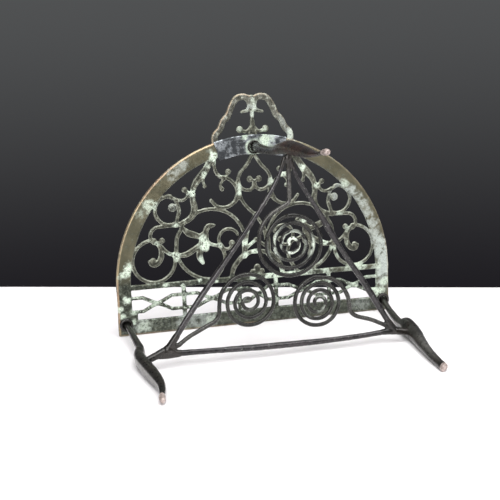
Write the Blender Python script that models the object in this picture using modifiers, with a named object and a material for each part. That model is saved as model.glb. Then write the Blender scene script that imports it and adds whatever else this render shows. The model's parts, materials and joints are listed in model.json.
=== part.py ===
"""Pierced cast-brass stand on three forged legs, tied by a wrought stretcher with three spirals.

Everything is drawn in the plate's own frame, in millimetres: X to the right, Z up the plate, Y through it.
The plate's back lies in the plane Y = 0, its front faces +Y and the legs run towards -Y.
One empty then leans that frame back until the plate's lower edge and both lower feet touch the floor.
"""
import math

import bmesh
import bpy
from mathutils import Vector

MM = 0.001
GAP = 0.3                      # clearance between pieces that touch on the real object

# plate
HALF_WIDTH = 165.0
ARC_CENTRE_Z = 55.0            # centre height of the round top, and height of the straight sides
RIM = 16.0                     # width of the rim seen square on
RIM_THICK = 4.6
LIP = 1.2                      # how far the bevelled front edge stands outside the rim
LIP_THICK = 1.5
BAR_LOW = 17.0                 # top of the bottom bar
BAR_UNDER, BAR_TOP = 52.0, 58.0
CORNER_WIDE, CORNER_TALL = 22.0, 26.0
SCROLL_BACK, SCROLL_THICK = 0.5, 3.6
LATTICE_BARS = (22.3, 88.4)    # distance of the upright bars from the centre line
RAIL_HIGH, RAIL_LOW = 42.5, 26.5
ARC_STEP = 18.0                # degrees between points on a scroll's arc
LEAST_TURN = 7.0               # degrees of turn that earn a curved scroll another point

# legs: rows of depth from the plate, half sizes outwards and across, bow outwards and sway across
LEG_BASES = {"left": (-157.0, 13.3), "right": (157.0, 13.3), "top": (0.0, 207.2)}
LEG_LEAN = {"left": (7.5, -18.3), "right": (-23.0, -16.2), "top": (13.3, 5.9)}
LEG_OUT = {"left": (-0.8, -0.6), "right": (0.8, -0.6), "top": (0.0, 1.0)}
LEAN_DEPTH = 210.0
TENON_RADIUS = 2.4
LEG_BODY = {
    "left": ((0, 2.9, 3.0, 0, 0), (10, 2.9, 3.1, -0.6, 0.1), (20, 3.0, 3.2, -1.0, 0.25),
             (35, 3.5, 3.5, -1.4, 0.4), (50, 3.75, 3.75, -1.75, 0.5), (62, 4.0, 4.0, -1.95, 0.55), (72, 4.3, 4.2, -2.2, 0.6),
             (79, 4.5, 4.6, -1.9, 0.5), (85, 4.7, 5.6, -0.7, 0.2), (91, 5.0, 6.6, 0.5, -0.1),
             (97, 5.7, 7.2, 1.35, -0.4), (104, 6.5, 7.6, 1.7, -0.5), (114, 7.3, 7.8, 1.6, -0.45),
             (127, 7.45, 7.4, 0.45, -0.1), (140, 7.35, 6.9, -1.0, 0.3), (152, 7.0, 6.3, -2.3, 0.6),
             (164, 6.25, 5.7, -3.5, 1.0), (174, 5.3, 5.0, -4.2, 1.25), (183, 4.0, 4.3, -4.35, 1.3),
             (191, 3.0, 3.6, -3.6, 1.1), (198, 2.4, 2.7, -2.0, 0.6)),
    "right": ((0, 3.3, 3.3, 0, 0), (10, 3.4, 3.2, -0.2, -0.7), (20, 3.4, 3.3, -0.5, -1.6),
              (35, 3.6, 3.5, -0.8, -3.1), (50, 3.9, 4.05, -1.0, -4.0), (62, 4.1, 4.25, -1.1, -4.5), (73, 4.3, 4.5, -1.15, -4.6),
              (80, 5.0, 5.2, -1.0, -4.0), (87, 6.5, 7.2, -0.6, -2.2), (94, 7.4, 8.2, -0.5, -1.6),
              (102, 7.9, 9.1, -0.6, -1.6), (110, 8.0, 9.2, -0.6, -1.5), (119, 7.8, 8.8, -0.6, -1.5),
              (128, 7.3, 7.8, -0.5, -1.5), (138, 6.8, 7.0, -0.7, -2.3), (150, 6.2, 6.2, -1.0, -3.2),
              (164, 5.5, 5.4, -1.2, -3.8), (180, 4.7, 5.1, -1.25, -4.2), (191, 4.0, 4.7, -1.2, -4.1),
              (200, 3.5, 4.4, -1.1, -3.8),
              (205, 3.3, 4.5, -1.0, -3.6), (209, 3.1, 4.5, -0.9, -3.5)),
    "top": ((0, 5.2, 4.8, 0, 0), (12, 5.5, 4.8, -0.5, 0), (22, 5.4, 4.7, -1.2, 0.1), (35, 4.85, 4.5, -1.9, 0.2),
            (48, 4.4, 4.4, -2.4, 0.25), (60, 4.4, 4.5, -2.5, 0.25), (69, 4.6, 4.8, -2.1, 0.2),
            (76, 4.95, 5.4, -1.5, 0.15), (84, 5.6, 6.3, -0.4, 0.05), (92, 6.2, 7.0, 0.5, -0.05),
            (100, 6.6, 7.4, 1.2, -0.1), (108, 7.2, 7.6, 1.75, -0.2), (115, 7.5, 7.6, 1.9, -0.2),
            (124, 7.35, 7.3, 1.3, -0.15), (134, 7.0, 6.9, 0.6, -0.05), (145, 6.4, 6.4, -0.25, 0),
            (156, 5.65, 5.8, -1.25, 0.1), (166, 4.6, 5.2, -2.0, 0.2), (176, 3.4, 4.5, -2.55, 0.25),
            (185, 2.4, 3.7, -2.5, 0.25), (191, 2.0, 3.0, -2.0, 0.2), (201, 2.0, 2.6, -0.8, 0.1)),
}
TOE_BODY = {
    "left": ((198 + GAP, 2.5, 2.8, -1.9, 0.6), (202, 3.3, 3.3, -1.1, 0.4), (206, 3.1, 3.2, -0.5, 0.3),
             (209, 2.5, 2.6, -0.3, 0.25), (210.5, 1.7, 1.8, -0.3, 0.2)),
    "right": ((209 + GAP, 3.1, 4.5, -0.9, -3.5), (211.5, 3.2, 4.6, -0.85, -3.4), (213.2, 2.9, 4.3, -0.8, -3.3),
              (214, 2.5, 3.7, -0.8, -3.2)),
    "top": ((201 + GAP, 2.1, 2.7, -0.7, 0.1), (204, 2.9, 3.2, -0.4, 0), (208, 3.2, 3.4, -0.1, 0),
            (211.5, 2.8, 3.0, 0, 0), (214, 1.7, 2.0, 0, 0)),
}
LEG_SIDES = 14

# collars and the pad under the top leg
COLLAR_OUTER, COLLAR_HIGH = 7.8, 3.0
COLLAR_INNER = {"left": 3.6, "right": 4.0, "top": 5.9}
PAD_THICK = 1.6
PAD_INNER, PAD_OUTER = 144.0, 166.5
PAD_LEFT_DEG, PAD_RIGHT_DEG = 106.5, 76.0

# stretcher
STRETCHER_DEPTH = 114.4
ROD_RADIUS = 3.1
LUG_RADIUS = 3.5
WIRE_RADIUS = 2.1
SPIRAL_STEP = 24.0             # degrees between points of a spiral

BRASS = (0.16, 0.15, 0.085)
LEAD = (0.20, 0.22, 0.22)
DARK_IRON = (0.035, 0.030, 0.028)
BROWN_IRON = (0.075, 0.040, 0.032)
ROD_IRON = (0.085, 0.080, 0.085)
WIRE_IRON = (0.075, 0.075, 0.066)
PALE_TIP = (0.52, 0.43, 0.38)


def arc(x, z, radius, start, end):
    """Points on a circle's arc in the plate's plane, angles in degrees from +X towards +Z."""
    steps = max(2, round(abs(end - start) / ARC_STEP))
    angles = [math.radians(start + (end - start) * i / steps) for i in range(steps + 1)]
    return [(x + radius * math.cos(a), z + radius * math.sin(a)) for a in angles]


def straighten(path):
    """Drop the points where a path hardly turns."""
    kept = [path[0]]
    for here, ahead in zip(path[1:], path[2:]):
        turn = (Vector(here) - Vector(kept[-1])).angle(Vector(ahead) - Vector(here))
        if turn > math.radians(LEAST_TURN):
            kept.append(here)
    return [*kept, path[-1]]


def smooth(points, steps=2):
    """A Catmull-Rom curve through the points."""
    ends = [points[0], *points, points[-1]]
    path = []
    for i in range(1, len(ends) - 2):
        before, here, after, beyond = (Vector(p) for p in ends[i - 1:i + 3])
        for step in range(steps):
            t = step / steps
            path.append(tuple(0.5 * (2 * here + (after - before) * t
                                     + (2 * before - 5 * here + 4 * after - beyond) * t ** 2
                                     + (3 * here - before - 3 * after + beyond) * t ** 3)))
    path.append(points[-1])
    return straighten(path)


# The scrolls of the right half: path, then the width at its start, middle and end.
SCROLLS = (
    # volute beside the side band, its chord, its comma and the curl above it
    (arc(121, 83.5, 24.5, 170, 455), 3.8, 3.8, 3.8),
    (smooth([(121, 105.5), (114, 102.5), (107.5, 95), (102, 90.5), (94, 89)]), 3.6, 3.6, 4.2),
    (smooth([(117, 105), (112.5, 97), (112.5, 88), (117, 81), (123, 79.5), (126, 83.5)]), 3.0, 6.2, 3.4),
    (smooth([(119, 105), (113, 104.5), (110.6, 106.6)]), 3.4, 3.4, 3.4),
    # S from the volute up to the round loop, and the loop against the rim with its tail
    (smooth([(120, 105), (123.5, 110.5), (122.5, 117), (117, 122), (107, 122.8), (93, 123.5)]), 3.6, 3.8, 3.8),
    (arc(100.5, 140.5, 16.3, -115, 98), 3.6, 3.8, 3.6),
    (smooth([(101, 157), (93.5, 153), (85.5, 151), (80, 154), (78.5, 159.5), (82, 162.2)]), 3.4, 3.4, 3.2),
    (smooth([(93.5, 153.5), (91, 147), (89.5, 138.5), (92, 130), (93.5, 123.5)]), 2.6, 4.2, 3.6),
    # leafy stem from the rim, its spur, and the stem down to the volute
    (smooth([(46, 200), (51.5, 192), (57.5, 183), (64.5, 175), (70.5, 167), (74, 156)]), 5.0, 8.0, 4.6),
    (smooth([(73.5, 159), (73, 150), (71.5, 142), (73.5, 134.5), (80, 128), (94, 122.5)]), 4.6, 7.6, 3.8),
    (smooth([(57, 182), (60, 173), (58.5, 165.5)]), 4.2, 3.0, 2.8),
    (smooth([(85, 126), (89, 116.5), (93, 109), (94.5, 98), (95.5, 86)]), 3.8, 4.2, 5.0),
    # the large ring and the flower inside it
    (arc(53.5, 99, 40, 62, 163), 3.6, 3.8, 3.8),
    (arc(53.5, 99, 42, -18, -84), 4.0, 4.0, 4.0),
    (smooth([(86.5, 120), (80.5, 113.5), (73.5, 110.5), (64, 107)]), 2.6, 7.6, 5.0),
    (smooth([(96, 88), (84, 88.5), (75, 93), (64.5, 100)]), 2.8, 6.6, 5.0),
    (smooth([(62.5, 101), (60, 112.5), (56.5, 119), (49.5, 120)]), 8.6, 6.4, 2.8),
    (smooth([(61.5, 108), (66, 95), (68, 85.5), (64.5, 77)]), 8.8, 7.2, 3.6),
    (smooth([(63, 109), (61.6, 101), (60.4, 93.5)]), 7.5, 10.5, 7.5),
    (smooth([(60, 102), (52, 97.5), (43, 95.3)]), 5.0, 3.6, 4.4),
    (arc(33, 102.8, 11.8, -42, 156), 3.4, 3.4, 3.4),
    (smooth([(43.5, 96), (38, 91.6), (32.5, 91.8), (29.3, 97)]), 3.6, 3.2, 3.2),
    (smooth([(43, 96.5), (39.5, 89), (38, 81), (41.5, 70), (50, 57)]), 4.6, 4.0, 4.0),
    # upright beside the centre with its chevron, and the arch over the trefoil
    (smooth([(9, 112.5), (12.5, 104), (14, 95), (14.6, 80.5)]), 2.8, 6.6, 5.2),
    (smooth([(13, 89.5), (7, 94.5), (-0.8, 100.2)]), 3.4, 3.4, 3.4),
    (smooth([(14, 84.5), (22, 76.5), (28.5, 67.5), (31.5, 56)]), 4.6, 5.6, 4.6),
    (smooth([(16, 81), (8, 85), (-1, 85.8)]), 4.6, 4.6, 4.6),
    # heart under the top boss, with the two curls at its cusp
    (smooth([(1.5, 198), (8.5, 187), (15.5, 179.5), (19, 172.5), (19.2, 166)]), 4.2, 3.8, 3.8),
    (smooth([(19.2, 168), (17, 162.5), (11.5, 158.6), (6, 158), (2.5, 160.3), (-0.6, 164)]), 3.8, 3.6, 3.6),
    (smooth([(-0.8, 163), (1.8, 169), (5.2, 170.4)]), 3.4, 3.0, 3.0),
    # S scrolls between the heart and the leafy stem, and the crossing diagonals
    (smooth([(46, 200), (46.5, 188), (44.5, 180), (39.5, 175), (34, 174.5), (30.5, 180)]), 3.8, 3.6, 3.4),
    (smooth([(37, 174.5), (29, 171.3), (22.5, 164), (20, 154.5), (23, 147)]), 3.6, 3.6, 4.4),
    (smooth([(20, 153), (23.5, 146), (32, 140.5), (41, 140), (47, 143), (52, 149)]), 4.4, 3.8, 3.4),
    (smooth([(34, 174), (38.5, 169), (40, 165), (38.5, 161)]), 3.4, 3.0, 3.0),
    (smooth([(19.2, 168), (19.3, 160), (18, 150)]), 4.2, 6.0, 5.0),
    (smooth([(18.5, 153), (13.5, 143.5), (7, 135.5), (-1, 127.5), (-10, 113)]), 3.6, 3.4, 3.4),
    # crest: outline, curled tip under the notch, and the scroll at its foot
    (smooth([(44, 208), (44.5, 221), (38.5, 228), (34, 237.5), (28.5, 243), (23.5, 254),
             (18.5, 261.5), (11.5, 264), (5, 262.5), (-1.5, 257)]), 7.2, 7.0, 6.6),
    (smooth([(5.5, 262), (3, 255), (5, 249), (12.5, 247)]), 4.2, 4.2, 2.4),
    (smooth([(-0.4, 236), (2, 230), (7.5, 225), (15.2, 226.9)]), 3.8, 3.4, 3.4),
)
# balls that end the curls: x, z, radius
BALLS = ((122, 84, 3.4), (110.6, 106.8, 3.2), (82, 162.8, 3.1), (96.8, 143.5, 4.6), (58.5, 165.5, 2.2),
         (29.3, 97.8, 3.4), (5.4, 170.4, 3.5), (30.4, 180.6, 3.1), (38.5, 161.2, 2.5), (15.2, 227.4, 3.7),
         (5.6, 61.6, 3.1), (74.2, 157.2, 4.3), (47, 200, 5.2), (95.2, 88.6, 4.3))


def clear_scene():
    for thing in list(bpy.data.objects):
        bpy.data.objects.remove(thing, do_unlink=True)


def make_collection(name):
    group = bpy.data.collections.new(name)
    bpy.context.scene.collection.children.link(group)
    return group


def make_material(name, colour, roughness, metallic):
    material = bpy.data.materials.new(name)
    material.use_nodes = True
    shader = material.node_tree.nodes["Principled BSDF"]
    shader.inputs["Base Color"].default_value = (*colour, 1.0)
    shader.inputs["Roughness"].default_value = roughness
    shader.inputs["Metallic"].default_value = metallic
    return material


def finish_part(thing, stand, colour, roughness, metallic):
    """Give a piece its material and hang it on the leaning frame."""
    thing.data.materials.clear()
    thing.data.materials.append(make_material(thing.name, colour, roughness, metallic))
    thing.parent = stand


def mesh_from_curve(curve_object):
    """Replace a curve object by its evaluated mesh with the caps welded on."""
    bpy.context.view_layer.update()
    evaluated = curve_object.evaluated_get(bpy.context.evaluated_depsgraph_get())
    mesh = bpy.data.meshes.new_from_object(evaluated)
    weld = bmesh_weld(mesh)
    name, group, matrix = curve_object.name, curve_object.users_collection[0], curve_object.matrix_world.copy()
    bpy.data.objects.remove(curve_object, do_unlink=True)
    solid = bpy.data.objects.new(name, weld)
    solid.matrix_world = matrix
    group.objects.link(solid)
    return solid


def bmesh_weld(mesh):
    """Weld coincident points of a mesh and turn its faces outwards."""
    work = bmesh.new()
    work.from_mesh(mesh)
    bmesh.ops.remove_doubles(work, verts=work.verts, dist=0.00001)
    bmesh.ops.recalc_face_normals(work, faces=work.faces)
    work.to_mesh(mesh)
    work.free()
    return mesh


def flat_shape(name, group, outlines, back, thick):
    """A flat piece in the plate's plane from closed outlines, its back at depth `back`."""
    curve = bpy.data.curves.new(name, "CURVE")
    curve.dimensions = "2D"
    curve.fill_mode = "BOTH"
    curve.extrude = 0.5 * thick * MM
    for outline in outlines:
        spline = curve.splines.new("POLY")
        spline.points.add(len(outline) - 1)
        for point, (x, z) in zip(spline.points, outline):
            point.co = (x * MM, z * MM, 0.0, 1.0)
        spline.use_cyclic_u = True
    shape = bpy.data.objects.new(name, curve)
    shape.rotation_euler = (math.radians(90), 0, 0)
    shape.location = (0, (back + 0.5 * thick) * MM, 0)
    group.objects.link(shape)
    return mesh_from_curve(shape)


def ribbon(path, start, middle, end):
    """Outline of a bar along a path whose width swells from start to middle and runs out to end."""
    left, right = [], []
    for i, here in enumerate(path):
        ahead = Vector(path[min(i + 1, len(path) - 1)])
        behind = Vector(path[max(i - 1, 0)])
        along = (ahead - behind).normalized()
        t = i / (len(path) - 1)
        swell = math.sin(math.pi * t)
        width = (start * (1 - t) + end * t) * (1 - swell) + middle * swell
        side = Vector((-along.y, along.x)) * 0.5 * width
        left.append(tuple(Vector(here) + side))
        right.append(tuple(Vector(here) - side))
    return left + right[::-1]


def disc(name, group, x, z, radius, back, thick, sides=10):
    """A short cylinder standing through the plate's plane."""
    bpy.ops.mesh.primitive_cylinder_add(vertices=sides, radius=radius * MM, depth=thick * MM,
                                        location=(x * MM, (back + 0.5 * thick) * MM, z * MM),
                                        rotation=(math.radians(90), 0, 0))
    cylinder = bpy.context.object
    cylinder.name = name
    for other in list(cylinder.users_collection):
        other.objects.unlink(cylinder)
    group.objects.link(cylinder)
    return cylinder


def boolean(target, operation, operands, solver="EXACT"):
    """Join or cut a solid with every object of a collection."""
    step = target.modifiers.new(operation.lower(), "BOOLEAN")
    step.operation = operation
    step.solver = solver
    step.operand_type = "COLLECTION"
    step.collection = operands
    bpy.context.view_layer.update()
    done = target.evaluated_get(bpy.context.evaluated_depsgraph_get())
    target.data = bpy.data.meshes.new_from_object(done)
    target.modifiers.clear()


def dome(radius, base_z, start=0.0, end=180.0, steps=48):
    """The round top at a radius, run from the right to the left."""
    angles = [math.radians(start + (end - start) * i / steps) for i in range(steps + 1)]
    return [(radius * math.cos(a), base_z + radius * math.sin(a)) for a in angles]


def build_plate(parts, scraps, holes):
    """Rim, bars, lattice, scrolls and crest, cast in one piece."""
    outer = [(-HALF_WIDTH, 0), (HALF_WIDTH, 0), *dome(HALF_WIDTH, ARC_CENTRE_Z)]
    inner_radius = HALF_WIDTH - RIM
    lift = math.degrees(math.asin((BAR_TOP - ARC_CENTRE_Z) / inner_radius))
    window = dome(inner_radius, ARC_CENTRE_Z, lift, 180 - lift)
    post = HALF_WIDTH - RIM + 1
    corner = HALF_WIDTH - CORNER_WIDE
    half = [(corner, BAR_LOW), (corner, CORNER_TALL), (post, CORNER_TALL), (post, BAR_UNDER)]
    lattice = half + [(-x, z) for x, z in half[::-1]]
    plate = flat_shape("pierced_plate", parts, [outer, window, lattice], 0, RIM_THICK)

    edge = HALF_WIDTH + LIP
    lip_outer = [(-edge, 0), (edge, 0), *dome(edge, ARC_CENTRE_Z)]
    lip_window = dome(HALF_WIDTH - 6, ARC_CENTRE_Z, 2, 178)
    flat_shape("lip", scraps, [lip_outer, lip_window + [(-HALF_WIDTH + 6, 4), (HALF_WIDTH - 6, 4)]],
               RIM_THICK - LIP_THICK, LIP_THICK + 0.1)

    for side in (1, -1):
        for number, (path, *widths) in enumerate(SCROLLS):
            outline = [(side * x, z) for x, z in ribbon(path, *widths)]
            flat_shape(f"scroll_{number}_{side}", scraps, [outline], SCROLL_BACK, SCROLL_THICK)
        for number, (x, z, radius) in enumerate(BALLS):
            disc(f"ball_{number}_{side}", scraps, side * x, z, radius, SCROLL_BACK - 0.2, SCROLL_THICK + 0.3)
        for x in LATTICE_BARS:
            bar = ribbon([(side * x, BAR_LOW - 3), (side * x, BAR_UNDER + 3)], 4.6, 4.6, 4.6)
            flat_shape(f"bar_{x}_{side}", scraps, [bar], SCROLL_BACK, SCROLL_THICK)
    crest_stem = ribbon([(0, 262), (0, 254), (0, 246), (0, 238), (0, 230), (0, 218)], 7.0, 4.4, 13.0)
    flat_shape("crest_stem", scraps, [crest_stem], SCROLL_BACK, SCROLL_THICK)
    disc("trefoil_top", scraps, 0, 66.6, 3.8, SCROLL_BACK - 0.2, SCROLL_THICK + 0.3)
    flat_shape("trefoil_stem", scraps, [ribbon([(0, 56), (0, 66)], 6, 6, 6)], SCROLL_BACK, SCROLL_THICK)

    # two rails in each panel, crossing half-way
    edges = [-150.5, *(-x for x in LATTICE_BARS[::-1]), *LATTICE_BARS, 150.5]
    for left, right in zip(edges, edges[1:]):
        middle = 0.5 * (left + right)
        reach = 0.27 * (right - left)
        for here, there in ((RAIL_HIGH, RAIL_LOW), (RAIL_LOW, RAIL_HIGH)):
            path = [(left - 1, here), (middle - reach, here), (middle - 0.45 * reach, 0.7 * here + 0.3 * there),
                    (middle + 0.45 * reach, 0.3 * here + 0.7 * there), (middle + reach, there), (right + 1, there)]
            flat_shape(f"rail_{left}_{here}", scraps, [ribbon(path, 3.6, 3.8, 3.6)], SCROLL_BACK, SCROLL_THICK)

    for place, (x, z) in LEG_BASES.items():
        disc(f"hole_{place}", holes, x, z, TENON_RADIUS + GAP, -2, RIM_THICK + 4, 16)
    boolean(plate, "UNION", scraps, "MANIFOLD")
    boolean(plate, "DIFFERENCE", holes)
    return plate


def loft(name, parts, base, sections):
    """A closed skin over ellipses in planes of constant depth; the long axes follow the leg's outward way."""
    place = name.split("_")[-1]
    out = Vector(LEG_OUT[place])
    across = Vector((-out.y, out.x))
    lean = Vector(LEG_LEAN[place]) / LEAN_DEPTH
    verts, faces = [], []
    for depth, radial, tangential, bow, sway in sections:
        centre = lean * max(depth, 0) + out * bow + across * sway
        for i in range(LEG_SIDES):
            a = 2 * math.pi * i / LEG_SIDES
            point = centre + out * radial * math.cos(a) + across * tangential * math.sin(a)
            verts.append((point.x * MM, -depth * MM, point.y * MM))
    for ring in range(len(sections) - 1):
        for i in range(LEG_SIDES):
            j = (i + 1) % LEG_SIDES
            low, high = ring * LEG_SIDES, (ring + 1) * LEG_SIDES
            faces.append((low + i, low + j, high + j, high + i))
    last = (len(sections) - 1) * LEG_SIDES
    faces.append(tuple(range(LEG_SIDES)))
    faces.append(tuple(range(last + LEG_SIDES - 1, last - 1, -1)))
    mesh = bpy.data.meshes.new(name)
    mesh.from_pydata(verts, [], faces)
    bmesh_weld(mesh)
    skin = bpy.data.objects.new(name, mesh)
    skin.location = (base[0] * MM, 0, base[1] * MM)
    parts.objects.link(skin)
    for face in mesh.polygons:
        face.use_smooth = len(face.vertices) == 4
    return skin


def stem_start(place):
    """Depth at which a leg's stem starts, in front of the plate or of the pad."""
    return GAP + (PAD_THICK + GAP if place == "top" else 0)


def build_leg(parts, place):
    """Forged leg: tenon in the plate, round stem, swelling knee and a thin ankle."""
    start = stem_start(place)
    (_, radial, tangential, bow, sway), *body = LEG_BODY[place]
    sections = [(-RIM_THICK + 1, TENON_RADIUS, TENON_RADIUS, 0, 0), (start, TENON_RADIUS, TENON_RADIUS, 0, 0),
                (start + 0.01, radial, tangential, bow, sway), *body]
    return loft(f"leg_{place}", parts, LEG_BASES[place], sections)


def build_toe(parts, place):
    """Pale tip at the leg's end with a small flat sole."""
    return loft(f"toe_{place}", parts, LEG_BASES[place], TOE_BODY[place])


def build_collar(parts, place):
    """Raised ring round the leg where it enters the plate, turned from a rounded profile."""
    x, z = LEG_BASES[place]
    start = stem_start(place)
    inner = COLLAR_INNER[place]
    round_over = 0.8
    profile = [(COLLAR_OUTER, 0), (COLLAR_OUTER, COLLAR_HIGH - round_over),
               (COLLAR_OUTER - round_over, COLLAR_HIGH), (inner + round_over, COLLAR_HIGH),
               (inner, COLLAR_HIGH - round_over), (inner, 0)]
    mesh = bpy.data.meshes.new(f"collar_{place}")
    count = len(profile)
    mesh.from_pydata([(radius * MM, 0, height * MM) for radius, height in profile],
                     [(i, (i + 1) % count) for i in range(count)], [])
    collar = bpy.data.objects.new(f"collar_{place}", mesh)
    collar.location = (x * MM, -start * MM, z * MM)
    collar.rotation_euler = (math.radians(90), 0, 0)
    parts.objects.link(collar)
    turn = collar.modifiers.new("turn", "SCREW")
    turn.steps = turn.render_steps = 20
    turn.use_merge_vertices = True
    turn.merge_threshold = 0.00001
    turn.use_normal_calculate = True
    return collar


def build_pad(parts, holes):
    """Thin curved plate over the rim behind the top leg."""
    count = 10
    angles = [math.radians(PAD_LEFT_DEG + (PAD_RIGHT_DEG - PAD_LEFT_DEG) * i / count) for i in range(count + 1)]
    outer = [(PAD_OUTER * math.cos(a), ARC_CENTRE_Z + PAD_OUTER * math.sin(a)) for a in angles]
    inner = [(PAD_INNER * math.cos(a), ARC_CENTRE_Z + PAD_INNER * math.sin(a)) for a in angles]
    pad = flat_shape("pad_top", parts, [outer + inner[::-1]], -GAP - PAD_THICK, PAD_THICK)
    boolean(pad, "DIFFERENCE", holes)
    return pad


def wire(name, group, points, radius, swell=None):
    """A round bar through points of the stretcher's plane; swell gives a thicker forged stretch."""
    curve = bpy.data.curves.new(name, "CURVE")
    curve.dimensions = "3D"
    curve.bevel_depth = radius * MM
    curve.bevel_resolution = 2
    curve.use_fill_caps = True
    spline = curve.splines.new("POLY")
    spline.points.add(len(points) - 1)
    for i, (point, (x, z)) in enumerate(zip(spline.points, points)):
        point.co = (x * MM, 0.0, z * MM, 1.0)
        if swell:
            point.radius = swell[i]
    rod = bpy.data.objects.new(name, curve)
    rod.location = (0, -STRETCHER_DEPTH * MM, 0)
    group.objects.link(rod)
    solid = mesh_from_curve(rod)
    for face in solid.data.polygons:
        face.use_smooth = True
    return solid


# Rods and spiral tails start just past the ends of the lugs' branches.
ROD_PATHS = {
    "left": [(-117.5, 28.5), (-104.5, 47.2), (-85.7, 73), (-61.1, 104.2), (-43.9, 126.6), (-27, 149.2),
             (-14.3, 168), (-5.8, 183), (-2.6, 190)],
    "right": [(11.4, 190), (14.4, 182.4), (25.3, 164.1), (36.1, 146.4), (46.7, 128), (52.4, 118.4), (61.3, 103.4),
              (71.7, 87), (85.3, 66.8), (95.2, 50.4), (103.6, 36.6), (112.2, 21.8)],
    "bottom": [(-114, 8.6), (-79, 7.4), (-24, 5.6), (40, 4.8), (85, 5.8), (106.5, 7)],
}
ROD_SWELL = {"left": [0.97, 0.97, 0.92, 0.8, 0.78, 0.73, 0.68, 0.64, 0.62],
             "right": [0.62, 0.63, 0.69, 0.78, 1.03, 1.0, 0.85, 0.9, 1.02, 1.0, 0.97, 0.92],
             "bottom": [0.97, 0.95, 1.0, 0.95, 0.9, 0.9]}
TAIL_STARTS = {"left": [(-113.4, 19.6), (-105, 25.2), (-88, 33.6), (-78, 38.6), (-73.5, 44.5)],
               "right": [(106.8, 16.8), (94, 22.8), (77.5, 28.4), (71, 34.5), (69.5, 43), (67.3, 53),
                         (59.5, 65), (48.5, 72.6)],
               "top": [(5.6, 190), (5.8, 177), (5.8, 163), (5.0, 157.6), (1.8, 154.2), (-6.3, 150), (-12.2, 146.6),
                       (-17.3, 142.4), (-21.6, 137.6), (-25.1, 131.6), (-27.2, 124.6)]}
# centre, first radius, pitch, first angle, turns (negative runs clockwise seen from the legs' side)
SPIRALS = {"left": ((-41.3, 55.6), 31.2, 8.4, 182, -3.35), "right": ((35, 47.5), 28.0, 7.3, 96, 3.3),
           "top": ((7.3, 113.2), 35.4, 8.0, 182, 4.0)}
# where a lug splits into its branches
LUG_APEX = {"left": (-128.3, 13.6), "right": (122.4, 7.4), "top": (5.8, 199.6)}
WEB_RADIUS = {"left": 4.9, "right": 4.9, "top": 4.2}  # swelling where the lug's branches meet


def build_rod(parts, side):
    path = ROD_PATHS[side]
    return wire(f"rod_{side}", parts, path, ROD_RADIUS, ROD_SWELL[side])


def build_spiral(parts, side):
    """A tail from the lug that runs into an Archimedean spiral."""
    (x, z), first, pitch, start, turns = SPIRALS[side]
    steps = round(abs(turns) * 360 / SPIRAL_STEP)
    coil = []
    for i in range(steps + 1):
        turned = turns * i / steps
        angle = math.radians(start + 360 * turned)
        radius = first - pitch * abs(turned)
        coil.append((x + radius * math.cos(angle), z + radius * math.sin(angle)))
    return wire(f"spiral_{side}", parts, TAIL_STARTS[side] + coil, WIRE_RADIUS)


def knee_section(place):
    """Centre of the leg in the stretcher's plane and its half sizes there."""
    base, lean, out = (Vector(d[place]) for d in (LEG_BASES, LEG_LEAN, LEG_OUT))
    across = Vector((-out.y, out.x))
    body = LEG_BODY[place]
    for low, high in zip(body, body[1:]):
        if low[0] <= STRETCHER_DEPTH <= high[0]:
            t = (STRETCHER_DEPTH - low[0]) / (high[0] - low[0])
            radial, tangential, bow, sway = (a + (b - a) * t for a, b in zip(low[1:], high[1:]))
    return base + lean * STRETCHER_DEPTH / LEAN_DEPTH + out * bow + across * sway, out, radial, tangential


def stub_end(path):
    """Where a lug's branch stops: one gap short of the rod, on the rod's own line."""
    first, second = Vector(path[0]), Vector(path[1])
    return tuple(first - (second - first).normalized() * GAP)


def build_lug(parts, scraps, place):
    """Forged corner: a stem from the leg that splits into two rods and a spiral's tail."""
    apex = Vector(LUG_APEX[place])
    knee, out, radial, tangential = knee_section(place)
    towards = (apex - knee).normalized()
    outwards = towards.dot(out)
    reach = (outwards ** 2 / radial ** 2 + (1 - outwards ** 2) / tangential ** 2) ** -0.5
    start = knee + towards * (reach + 2 * GAP)
    rods = {"left": (("left", 1), ("bottom", 1)), "right": (("right", -1), ("bottom", -1)),
            "top": (("left", -1), ("right", 1))}[place]
    branches = [(ROD_PATHS[side][::way], ROD_RADIUS * ROD_SWELL[side][::way][0]) for side, way in rods]
    branches.append((TAIL_STARTS[place], WIRE_RADIUS))
    lug = wire(f"lug_{place}", parts, [tuple(start), tuple(start.lerp(apex, 0.5)), tuple(apex + towards * 2)],
               LUG_RADIUS, [1.0, 0.95, 1.25])
    bpy.ops.mesh.primitive_uv_sphere_add(segments=12, ring_count=8, radius=WEB_RADIUS[place] * MM,
                                         location=(apex.x * MM, -STRETCHER_DEPTH * MM, apex.y * MM))
    web = bpy.context.object
    for other in list(web.users_collection):
        other.objects.unlink(web)
    scraps.objects.link(web)
    for number, (path, radius) in enumerate(branches):
        end = Vector(stub_end(path))
        inward = (Vector(path[0]) - Vector(path[1])).normalized()
        begin = apex + (end - apex).normalized() * (0.8 + 0.2 * number)
        wire(f"branch_{place}_{number}", scraps, [tuple(begin), tuple(end + inward * 2.5), tuple(end)], radius,
             [1.15, 1.05, 1.0])
    boolean(lug, "UNION", scraps)
    return lug


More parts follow.
